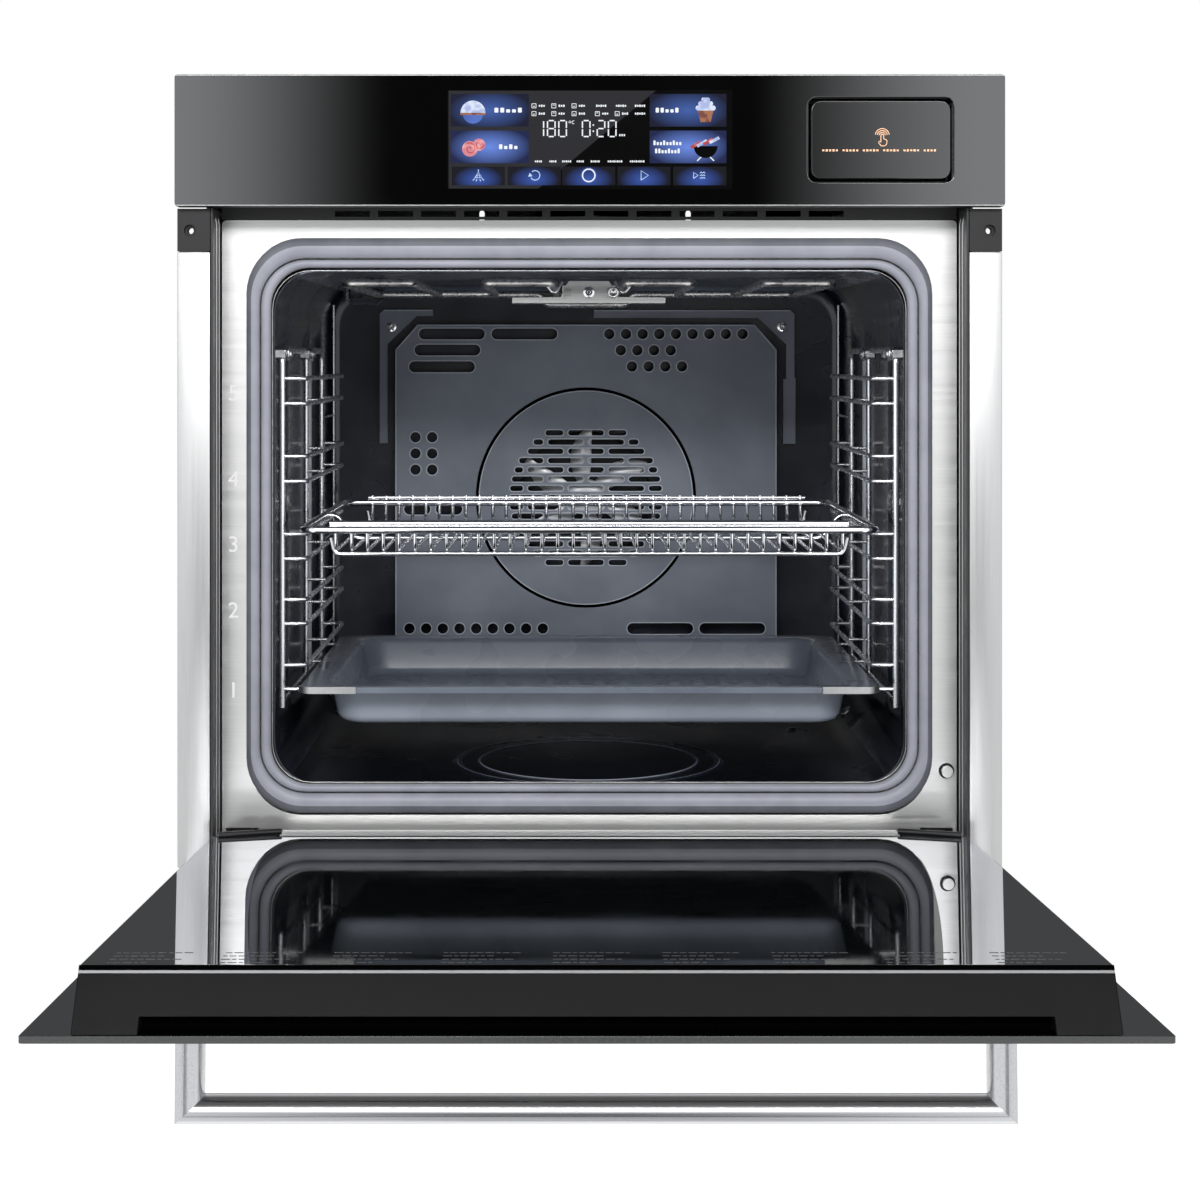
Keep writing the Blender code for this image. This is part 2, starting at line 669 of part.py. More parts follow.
# ---------------------------------------------------------------- heaters, lamp, ladders
def make_heaters():
    radius = 0.0030
    front, rear, height = 0.047, 0.325, HEATER_TERMINALS[0][1]
    legs = [0.0265 + 0.053 * i for i in range(4)]

    def half(sign):
        """From the rear terminal to the outermost leg's rear end."""
        path = [(sign * legs[0], 0.440, height), (sign * legs[0], front + 0.008, height)]
        for i in range(3):
            near = i % 2 == 0
            y = front if near else rear
            inner = 0.008 if near else -0.008
            path += [
                (sign * (legs[i] + 0.008), y, height),
                (sign * (legs[i + 1] - 0.008), y, height),
                (sign * legs[i + 1], y + inner, height),
            ]
            if i < 2:
                path.append((sign * legs[i + 1], (rear - 0.008) if near else (front + 0.008), height))
        path += [(sign * legs[3], 0.333, height), (sign * (legs[3] - 0.010), 0.343, height)]
        return path

    route = half(-1) + [(-0.040, 0.343, height)]
    bridge = [(-0.036, 0.343, height - 0.009), (0.036, 0.343, height - 0.009), (0.040, 0.343, height)]
    route += bridge + list(reversed(half(1)))
    wire("grill_element", route, radius, CASING, CHROME)

    strip_z, tab_z = (0.4182, 0.4222), 0.4290
    outline = [(-0.058, strip_z[0]), (0.058, strip_z[0]), (0.058, strip_z[1]), (0.0148, strip_z[1])]
    outline += [(0.0148, tab_z), (0.0100, 0.4425), (-0.0100, 0.4425), (-0.0148, tab_z)]
    outline += [(-0.0148, strip_z[1]), (-0.058, strip_z[1])]
    plate("grill_bracket", [outline], (0.0500, 0.0515), CASING, BRUSHED)

    z = 0.0547
    loop = [(-0.03, 0.405, z), (-0.03, 0.36, z), (-0.17, 0.35, z), (-0.18, 0.34, z), (-0.18, 0.08, z)]
    loop += [(-0.17, 0.07, z), (-0.09, 0.07, z), (-0.08, 0.08, z), (-0.08, 0.28, z), (-0.07, 0.29, z)]
    wire("bottom_heater", loop + [(-x, y, z) for x, y, z in reversed(loop)], 0.0028, CASING, DARK_METAL)

    lamp = cylinder("oven_lamp", (*LAMP, 0.4480), "Z", 0.0185, 0.036, CASING, CLEAR_GLASS, sides=16)
    dome = cylinder("lamp_dome", (*LAMP, 0.4280), "Z", 0.0120, 0.006, CASING, sides=16, radius_end=0.0185)
    socket = cylinder("lamp_socket", (*LAMP, 0.4730), "Z", 0.0140, 0.016, CASING, sides=12)
    join(lamp, [dome, socket])


def make_ladders():
    front, middle, rear = LADDER_Y
    for side, sign in SIDES:
        wall_x, rung_x = sign * LADDER_X, sign * RUNG_X
        low, high = LADDER_Z
        frame_path = [(wall_x, front, low), (wall_x, front, high), (wall_x, front + 0.012, high + 0.010)]
        frame_path += [(wall_x, rear - 0.012, high + 0.010), (wall_x, rear, high), (wall_x, rear, low)]
        frame = to_mesh(
            wire("shelf_ladder_" + side, frame_path, 0.0023, CASING, CHROME, closed=True, resolution=1)
        )
        post = [(wall_x, middle, low), (wall_x, middle, high + 0.010)]
        wires = [to_mesh(wire("post_" + side, post, 0.0019, CASING))]
        for level, pair in enumerate(RUNG_PAIRS):
            for row, z in enumerate(pair):
                tag = f"{side}_{level}_{row}"
                path = [(wall_x, front, z), (rung_x - sign * 0.003, front, z), (rung_x, front + 0.004, z)]
                path += [(rung_x, rear - 0.004, z), (rung_x - sign * 0.003, rear, z), (wall_x, rear, z)]
                wires.append(to_mesh(wire("rung_" + tag, path, LADDER_WIRE, CASING, resolution=0)))
                tie = [(wall_x, middle, z), (rung_x, middle, z)]
                wires.append(to_mesh(wire("tie_" + tag, tie, 0.0014, CASING, resolution=0)))
        join(frame, wires)


# ---------------------------------------------------------------- cooling, hinges, switch
def make_blower():
    drum = cylinder("blower_housing", (0, BLOWER_Y, 0.5195), "Z", 0.082, 0.045, CASING, GALVANISED)
    hollow = cylinder("blower_hollow", (0, BLOWER_Y, 0.5195), "Z", 0.0805, 0.042, CASING)
    inlet = cylinder("blower_inlet", (0, BLOWER_Y, 0.5400), "Z", 0.045, 0.02, CASING)
    outlet = box("blower_outlet", (-0.045, 0.045), (0.28, 0.34), (0.5010, 0.5380), CASING)
    cut(drum, [hollow, inlet, outlet])
    motor = cylinder("blower_motor", (0, BLOWER_Y, 0.5560), "Z", 0.024, 0.020, CASING, GALVANISED)
    bridge_y = (BLOWER_Y - 0.008, BLOWER_Y + 0.008)
    bridge = box("motor_bridge", (-0.060, 0.060), bridge_y, (0.5424, 0.5465), CASING)
    shaft = cylinder("blower_shaft", (0, BLOWER_Y, 0.5300), "Z", 0.0036, 0.040, CASING, sides=12)
    join(motor, [bridge, shaft])

    disc = cylinder("blower_impeller", (0, 0, 0.5075), "Z", 0.064, 0.002, IMPELLER, BLACK_PLASTIC)
    vanes = [cylinder("impeller_hub", (0, 0, 0.5180), "Z", 0.012, 0.022, IMPELLER, sides=16)]
    for i in range(12):
        vane = box("vane_" + str(i), (0.048, 0.063), (-0.0007, 0.0007), (0.5070, 0.5340), IMPELLER)
        vane.data.transform(Matrix.Rotation(2 * pi * i / 12, 4, "Z"))
        vanes.append(vane)
    join(disc, vanes)
    bore = cylinder("impeller_bore", (0, 0, 0.52), "Z", 0.0040, 0.1, IMPELLER, sides=12)
    cut(disc, [bore])


def make_hinge_arms():
    """Each arm ends in an eye round the door's pin, and is fixed in a receiver behind the front frame."""
    y, z = DOOR_PIVOT
    eye, top, bottom = 0.0070, 0.0275, 0.0130
    arc = [(y + eye * cos(a), z + eye * sin(a)) for a in [pi / 2 + pi * i / 8 for i in range(9)]]
    outline = arc + [(y + 0.004, bottom), (0.060, bottom), (0.060, top), (-0.004, top), (y + 0.006, z + eye)]
    for side, sign in SIDES:
        thickness = side_range(sign, (0.2515, 0.2585))
        arm = to_mesh(
            plate("hinge_arm_" + side, [outline, circle(y, z, 0.0034, 12)], thickness, CASING, GALVANISED, "X")
        )
        receiver = box(
            "receiver_" + side, side_range(sign, (0.2475, 0.2625)), (0.0015, 0.085), (0.0115, 0.0345), CASING
        )
        join(arm, [receiver])


def make_door_switch():
    x, z = SWITCH
    body = box("door_switch", (0.2570, 0.2705), (0.0060, 0.034), (0.0650, 0.0816), CASING, BLACK_PLASTIC)
    way = cylinder("switch_way", (x, 0.006, z), "Y", 0.0046, 0.040, CASING, sides=16)
    cut(body, [way])
    cylinder("switch_plunger", (x, 0.0060, z), "Y", 0.0043, 0.0230, PLUNGER, BLACK_PLASTIC, sides=16)


def make_terminal_block():
    block = box("terminal_block", (0.175, 0.235), (0.480, 0.5183), (0.500, 0.545), CASING, BLACK_PLASTIC)
    gland = cylinder("cable_gland", (0.205, 0.5210, 0.520), "Y", 0.0105, 0.018, CASING, sides=16)
    way = cylinder("gland_way", (0.205, 0.525, 0.520), "Y", 0.0050, 0.030, CASING, sides=12)
    join(block, [gland])
    cut(block, [way])


# ---------------------------------------------------------------- door, drawn closed about its pivot
def profile_bar(name, outline, x, body, material):
    """A bar of constant section across X; the outline is in Y and Z."""
    return plate(name, [outline], x, body, material, "X")


def make_door():
    glass_in = DOOR_OUTER + GLASS
    outline = rectangle((-HALF_FRONT, HALF_FRONT), (DOOR_BOTTOM, DOOR_TOP), 0.002, 2)
    plate("door_outer_glass", [outline], (DOOR_OUTER, glass_in), DOOR, BLACK_GLASS)
    inner_low, inner_top = 0.0265, 0.4460
    inner = ((-0.2700, 0.2700), (DOOR_INNER - GLASS, DOOR_INNER), (inner_low, inner_top))
    box("door_inner_glass", *inner, DOOR, BLACK_GLASS)
    box("door_middle_glass", (-0.2420, 0.2420), (-0.002, 0.002), (0.035, 0.4290), DOOR, CLEAR_GLASS)

    foot, back = glass_in + GAP, DOOR_INNER - GLASS - GAP
    cap_outline = [(foot, 0.4655), (DOOR_INNER, inner_top + 0.0010), (DOOR_INNER, inner_top + GAP)]
    cap_outline += [(back, inner_top + GAP), (back, 0.4300), (foot, 0.4300)]
    cap = to_mesh(profile_bar("door_top_cap", cap_outline, (-DOOR_HALF, DOOR_HALF), DOOR, BLACK_PLASTIC))
    recess = box("cap_recess", (-0.2360, 0.2360), (-0.020, -0.0055), (0.4540, 0.480), DOOR)
    cut(cap, [recess])

    wall = 0.0015
    low, high = -0.0070, inner_low - GAP
    rail = [(foot, low), (DOOR_INNER, low), (DOOR_INNER, high), (DOOR_INNER - wall, high)]
    rail += [(DOOR_INNER - wall, low + wall), (foot + wall, low + wall), (foot + wall, high), (foot, high)]
    profile_bar("door_bottom_rail", rail, (-0.2225, 0.2225), DOOR, BRUSHED)

    for side, sign in SIDES:
        span = side_range(sign, HINGE_X)
        channel = box("door_rail_" + side, span, (foot, back), (-0.006, 0.4297), DOOR, GALVANISED)
        hollow = box(
            "rail_hollow_" + side, (span[0] + wall, span[1] - wall), (foot + wall, 0.05), (-0.05, 0.50), DOOR
        )
        cut(channel, [hollow])
        length = HINGE_X[1] - HINGE_X[0] - 0.001
        pin = cylinder("hinge_pin_" + side, (sum(span) / 2, 0, 0), "X", 0.0030, length, DOOR, sides=12)
        join(channel, [pin])
        corners = [(0.2240, 0.0040), (0.2690, 0.0215), (0.2690, inner_low - GAP), (0.2240, inner_low - GAP)]
        outline = [(sign * x, z) for x, z in corners]
        plate("hinge_cover_" + side, [outline], (DOOR_INNER - 0.0035, DOOR_INNER), DOOR, BLACK_PLASTIC)

    bar_back = DOOR_OUTER - HANDLE_REACH
    depth, height = HANDLE_BAR
    bar_z = (HANDLE_Z - height / 2, HANDLE_Z + height / 2)
    bar_y = (bar_back, bar_back + depth)
    box("handle_bar", (-HANDLE_HALF, HANDLE_HALF), bar_y, bar_z, DOOR, BRUSHED, bevel=0.003)
    for side, sign in SIDES:
        span = side_range(sign, (HANDLE_HALF - POST_WIDTH, HANDLE_HALF - 0.0005))
        reach = (bar_back + depth + GAP, DOOR_OUTER - GAP)
        post_z = (bar_z[0] + 0.001, bar_z[1] - 0.001)
        box("handle_post_" + side, span, reach, post_z, DOOR, BRUSHED, bevel=0.001)


# ---------------------------------------------------------------- rack, tray and tank
def make_rack():
    half, (front, rear) = RACK_HALF, RACK_Y
    corner = 0.012
    frame_path = [(x, y, RACK_Z) for x, y in rectangle((-half, half), (front, rear), corner, 3)]
    frame = to_mesh(wire("wire_rack", frame_path, RACK_WIRE, RACK, CHROME, closed=True))
    reach = RACK_BAR_PITCH * (RACK_BARS - 1) / 2
    wires = []
    for tag, y in (("front", front + 0.002), ("rear", rear + 0.002)):
        bar = [(-reach - 0.002, y, RACK_RIM_Z), (reach + 0.002, y, RACK_RIM_Z)]
        wires.append(to_mesh(wire("rack_rim_" + tag, bar, 0.0024, RACK)))
    for tag, y in (("front", front + 0.008), ("middle", (front + rear) / 2), ("rear", rear - 0.008)):
        drop = RACK_GRID_Z - 0.0025
        path = [(-reach - 0.003, y, drop), (reach + 0.003, y, drop)]
        if tag == "middle":
            path = [(-half, y, RACK_Z), (-half + 0.010, y, RACK_Z)] + path
            path += [(half - 0.010, y, RACK_Z), (half, y, RACK_Z)]
        wires.append(to_mesh(wire("rack_cross_" + tag, path, 0.0020, RACK, resolution=0)))
    for i in range(RACK_BARS):
        x = -reach + RACK_BAR_PITCH * i
        path = [(x, front + 0.002, RACK_RIM_Z), (x, front + 0.006, RACK_GRID_Z), (x, rear - 0.004, RACK_GRID_Z)]
        path.append((x, rear + 0.002, RACK_RIM_Z))
        wires.append(to_mesh(wire("rack_bar_" + str(i), path, 0.0014, RACK, resolution=0)))
    join(frame, wires)


def make_tray():
    def ring(inset, z, radius):
        x, y = TRAY_HALF[0] - inset, TRAY_HALF[1] - inset
        shape = rectangle((-x, x), (TRAY_CENTRE_Y - y, TRAY_CENTRE_Y + y), radius, 4)
        return [(px, py, z) for px, py in shape]

    rings = [ring(0.0002, TRAY_RIM_Z - 0.0024, 0.012), ring(0, TRAY_RIM_Z, 0.012)]
    rings += [ring(0.018, TRAY_RIM_Z, 0.018), ring(0.0215, TRAY_RIM_Z - 0.004, 0.018)]
    rings += [ring(0.0265, TRAY_FLOOR_Z + 0.004, 0.018), ring(0.0300, TRAY_FLOOR_Z, 0.018)]
    tray = loft("baking_tray", rings, TRAY, ENAMEL, end_cap=True, wall=0.0008)
    floor = min(tray.data.polygons, key=lambda face: face.center.z)
    tray.modifiers["wall"].offset = 1 if floor.normal.z > 0 else -1


def make_tank():
    x, z = TANK_CENTRE
    cover = rectangle(*tank_limits(TANK_COVER_HALF), 0.0063, 3)
    plate("tank_cover", [cover], (PANEL_FRONT, -0.0335), TANK, BLACK_GLASS)

    def ring(half_x, y, height, radius):
        return [(px, py, height) for px, py in rectangle((x - half_x, x + half_x), y, radius, 3)]

    rings = [ring(0.0465, (-0.0330, 0.165), z + 0.0230, 0.008)]
    rings += [ring(0.0450, (-0.0315, 0.163), z - 0.0240, 0.007)]
    tank = loft("water_tank", rings, TANK, TANK_PLASTIC, end_cap=True, wall=0.0016)
    floor = min(tank.data.polygons, key=lambda face: face.center.z)
    tank.modifiers["wall"].offset = -1 if floor.normal.z < 0 else 1


make_casing_shell()
make_front_frame()
make_side_trims()
make_vent_grille()
make_control_panel()
make_water_circuit()
make_cavity()
make_fan_group()
make_heaters()
make_ladders()
make_blower()
make_hinge_arms()
make_door_switch()
make_terminal_block()
make_door()
make_rack()
make_tray()
make_tank()
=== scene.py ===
"""Looks for a built-in wall oven with a drop-down door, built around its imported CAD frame.

World axes: +X to the right as the user faces the oven, +Y to the rear, +Z up. Pieces are modelled in
place, in metres, with their objects at the origin, so object coordinates are the oven's own.
"""

import json
from math import cos, pi, radians, sin

import bmesh
import bpy
from mathutils import Matrix, Vector


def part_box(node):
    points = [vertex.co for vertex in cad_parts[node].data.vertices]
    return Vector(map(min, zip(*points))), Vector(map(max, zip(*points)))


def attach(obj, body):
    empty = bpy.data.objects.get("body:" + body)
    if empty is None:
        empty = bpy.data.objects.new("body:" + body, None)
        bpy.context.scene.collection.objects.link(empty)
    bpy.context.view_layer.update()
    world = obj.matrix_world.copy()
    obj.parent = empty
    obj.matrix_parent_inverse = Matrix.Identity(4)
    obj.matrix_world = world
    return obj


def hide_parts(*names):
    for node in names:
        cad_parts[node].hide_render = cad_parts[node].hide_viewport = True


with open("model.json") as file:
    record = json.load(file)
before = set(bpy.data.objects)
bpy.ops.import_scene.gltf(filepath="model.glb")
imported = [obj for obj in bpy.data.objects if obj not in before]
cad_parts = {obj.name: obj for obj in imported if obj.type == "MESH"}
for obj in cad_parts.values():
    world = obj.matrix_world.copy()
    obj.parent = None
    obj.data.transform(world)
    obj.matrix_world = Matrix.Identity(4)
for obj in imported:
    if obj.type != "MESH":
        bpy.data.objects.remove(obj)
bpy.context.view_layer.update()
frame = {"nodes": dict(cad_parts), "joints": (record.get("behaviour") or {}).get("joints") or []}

MM = 0.001
THIN_SHEET = 0.0008  # the muffle, the tray and the fan's blades
CASING_SCREW = 0.0050  # radius of a casing screw's flange
LEFT_RIGHT = (("left", -1), ("right", 1))
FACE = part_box("front_frame")[0].y  # the steel front frame's face; depths are measured from it
PANEL_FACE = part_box("fascia_glass")[0].y


# ---------------------------------------------------------------- materials
def material(name, colour, roughness, metallic=0.0, **sockets):
    """A Principled material; sockets are other socket names with spaces as underscores."""
    made = bpy.data.materials.new(name)
    made.use_nodes = True
    inputs = made.node_tree.nodes["Principled BSDF"].inputs
    inputs["Base Color"].default_value = (*colour, 1.0)
    inputs["Roughness"].default_value = roughness
    inputs["Metallic"].default_value = metallic
    for socket, value in sockets.items():
        inputs[socket.replace("_", " ")].default_value = value
    return made


def shader(made):
    """The material's Principled node."""
    return made.node_tree.nodes["Principled BSDF"]


def texture(made, kind, scale, output, **settings):
    """A texture on object coordinates; its scale per metre is one number, or one along each axis."""
    tree = made.node_tree
    place = tree.nodes.new("ShaderNodeTexCoord")
    mapping = tree.nodes.new("ShaderNodeMapping")
    mapping.inputs["Scale"].default_value = scale if isinstance(scale, tuple) else (scale,) * 3
    node = tree.nodes.new(kind)
    if "Scale" in node.inputs:
        node.inputs["Scale"].default_value = 1.0
    for key, value in settings.items():
        if key in node.inputs:
            node.inputs[key].default_value = value
        else:
            setattr(node, key, value)
    tree.links.new(place.outputs["Object"], mapping.inputs["Vector"])
    tree.links.new(mapping.outputs["Vector"], node.inputs["Vector"])
    return node.outputs[output]


def noise(made, scale, detail=2.0):
    return texture(made, "ShaderNodeTexNoise", scale, "Fac", Detail=detail)


def spread(made, value, low, high, source=(0.35, 0.65)):
    """The value, remapped from the source range to low..high and clamped."""
    node = made.node_tree.nodes.new("ShaderNodeMapRange")
    numbers = {"From Min": source[0], "From Max": source[1], "To Min": low, "To Max": high}
    for key, number in numbers.items():
        node.inputs[key].default_value = number
    made.node_tree.links.new(value, node.inputs["Value"])
    return node.outputs["Result"]


def vary_roughness(made, value, low, high, source=(0.35, 0.65)):
    made.node_tree.links.new(spread(made, value, low, high, source), shader(made).inputs["Roughness"])


def vary_colour(made, value, dark, light, source=(0.35, 0.65), socket="Base Color"):
    ramp = made.node_tree.nodes.new("ShaderNodeValToRGB")
    ramp.color_ramp.elements[0].color = (*dark, 1.0)
    ramp.color_ramp.elements[1].color = (*light, 1.0)
    made.node_tree.links.new(spread(made, value, 0.0, 1.0, source), ramp.inputs["Fac"])
    made.node_tree.links.new(ramp.outputs["Color"], shader(made).inputs[socket])


def bump(made, value, distance):
    """Adds raised detail of the given height in metres on top of any that is there already."""
    node = made.node_tree.nodes.new("ShaderNodeBump")
    node.inputs["Strength"].default_value = 1.0
    node.inputs["Distance"].default_value = distance
    made.node_tree.links.new(value, node.inputs["Height"])
    before = shader(made).inputs["Normal"]
    if before.is_linked:
        made.node_tree.links.new(before.links[0].from_socket, node.inputs["Normal"])
    made.node_tree.links.new(node.outputs["Normal"], before)


def brushed(name, dark, light, along, roughness=(0.22, 0.38), grain=1500.0, distance=0.00002):
    """Steel with fine scratches along one axis, given as 0, 1 or 2."""
    made = material(name, light, 0.3, 1.0)
    scale = [grain] * 3
    scale[along] = grain / 130
    fine = noise(made, tuple(scale), 3.0)
    vary_colour(made, fine, dark, light, (0.25, 0.75))
    wide = noise(made, tuple(number / 8 for number in scale), 2.0)
    vary_roughness(made, wide, *roughness)
    bump(made, fine, distance)
    return made


def enamel(name, dark, light, roughness, fleck=(0.10, 0.11, 0.14)):
    """Glossy vitreous enamel: a faint orange-peel skin and pale flecks about a millimetre apart."""
    made = material(name, light, roughness[0], 0.0, Coat_Weight=0.35, Coat_Roughness=0.12)
    tree = made.node_tree
    cloud = noise(made, 14.0, 3.0)
    vary_colour(made, cloud, dark, light)
    flecks = texture(made, "ShaderNodeTexVoronoi", 900.0, "Distance")
    mix = tree.nodes.new("ShaderNodeMix")
    mix.data_type = "RGBA"
    factor, colour, second = mix.inputs[0], mix.inputs[6], mix.inputs[7]
    tree.links.new(shader(made).inputs["Base Color"].links[0].from_socket, colour)
    second.default_value = (*fleck, 1.0)
    tree.links.new(spread(made, flecks, 0.20, 0.0, (0.10, 0.22)), factor)
    tree.links.new(mix.outputs[2], shader(made).inputs["Base Color"])
    vary_roughness(made, noise(made, 14.0), *roughness)
    bump(made, noise(made, 420.0, 1.0), 0.000006)
    return made


def plastic(name, colour, roughness, grain=1800.0, specular=0.35):
    """Moulded plastic with an eroded texture and faint handling marks."""
    made = material(name, colour, roughness, Specular_IOR_Level=specular)
    vary_roughness(made, noise(made, 35.0, 4.0), roughness - 0.05, roughness + 0.05)
    bump(made, noise(made, grain, 2.0), 0.00004)
    return made


def mirror_glass(name, body, gloss_range, coat=1.0, specular=0.5):
    """Black glass whose mirror share goes through the range as it is seen at a lower angle."""
    made = material(name, body, 0.03, 0.0, Coat_Weight=coat, Coat_Roughness=0.02, Specular_IOR_Level=specular)
    vary_roughness(made, noise(made, 20.0, 4.0), 0.02, 0.06)
    tree = made.node_tree
    gloss = tree.nodes.new("ShaderNodeBsdfGlossy")
    gloss.inputs["Color"].default_value = (0.92, 0.93, 0.95, 1.0)
    gloss.inputs["Roughness"].default_value = 0.015
    weight = tree.nodes.new("ShaderNodeLayerWeight")
    weight.inputs["Blend"].default_value = 0.5
    mix = tree.nodes.new("ShaderNodeMixShader")
    output = tree.nodes["Material Output"]
    share = spread(made, weight.outputs["Facing"], *gloss_range, (0.25, 0.80))
    tree.links.new(share, mix.inputs["Fac"])
    tree.links.new(shader(made).outputs["BSDF"], mix.inputs[1])
    tree.links.new(gloss.outputs["BSDF"], mix.inputs[2])
    tree.links.new(mix.outputs["Shader"], output.inputs["Surface"])
    return made


def galvanised(name, dark, light):
    """Zinc-coated sheet with its crystal pattern, 8 to 15 mm across."""
    made = material(name, light, 0.4, 0.9)
    crystals = texture(made, "ShaderNodeTexVoronoi", 95.0, "Color")
    vary_colour(made, crystals, dark, light, (0.0, 1.0))
    vary_roughness(made, crystals, 0.32, 0.50, (0.0, 1.0))
    bump(made, noise(made, 700.0), 0.00002)
    return made


def glow(name, colour, strength, dark=None, scale=18.0):
    """A glowing material: a lit part of the display, or painted light and reflection; a second colour makes
    it a soft gradient.
    """
    made = material(name, (0.01, 0.01, 0.012), 0.08, 0.0, Emission_Strength=strength)
    shader(made).inputs["Emission Color"].default_value = (*colour, 1.0)
    if dark is not None:
        vary_colour(made, noise(made, scale, 0.0), dark, colour, (0.38, 0.62), "Emission Color")
    return made


def halo(name, centre, reach, dark, light):
    """A light that fades outward from a point; the centre and reach are (x, z) in metres."""
    made = glow(name, light, 1.0)
    scale = (1.0 / reach[0], 0.0, 1.0 / reach[1])
    value = texture(made, "ShaderNodeTexGradient", scale, "Fac", gradient_type="SPHERICAL")
    mapping = value.node.inputs["Vector"].links[0].from_node
    mapping.inputs["Location"].default_value = (-centre[0] * scale[0], 0.0, -centre[1] * scale[2])
    vary_colour(made, value, dark, light, (0.12, 1.0), "Emission Color")
    return made


def panel_halo(name, centre, reach, dark, light):
    """A halo given in millimetres from the display's centre, added to the looks under its name."""
    middle = (DISPLAY.x + centre[0] * MM, DISPLAY.z + centre[1] * MM)
    LOOK[name] = halo(name, middle, (reach[0] * MM, reach[1] * MM), dark, light)
    return name


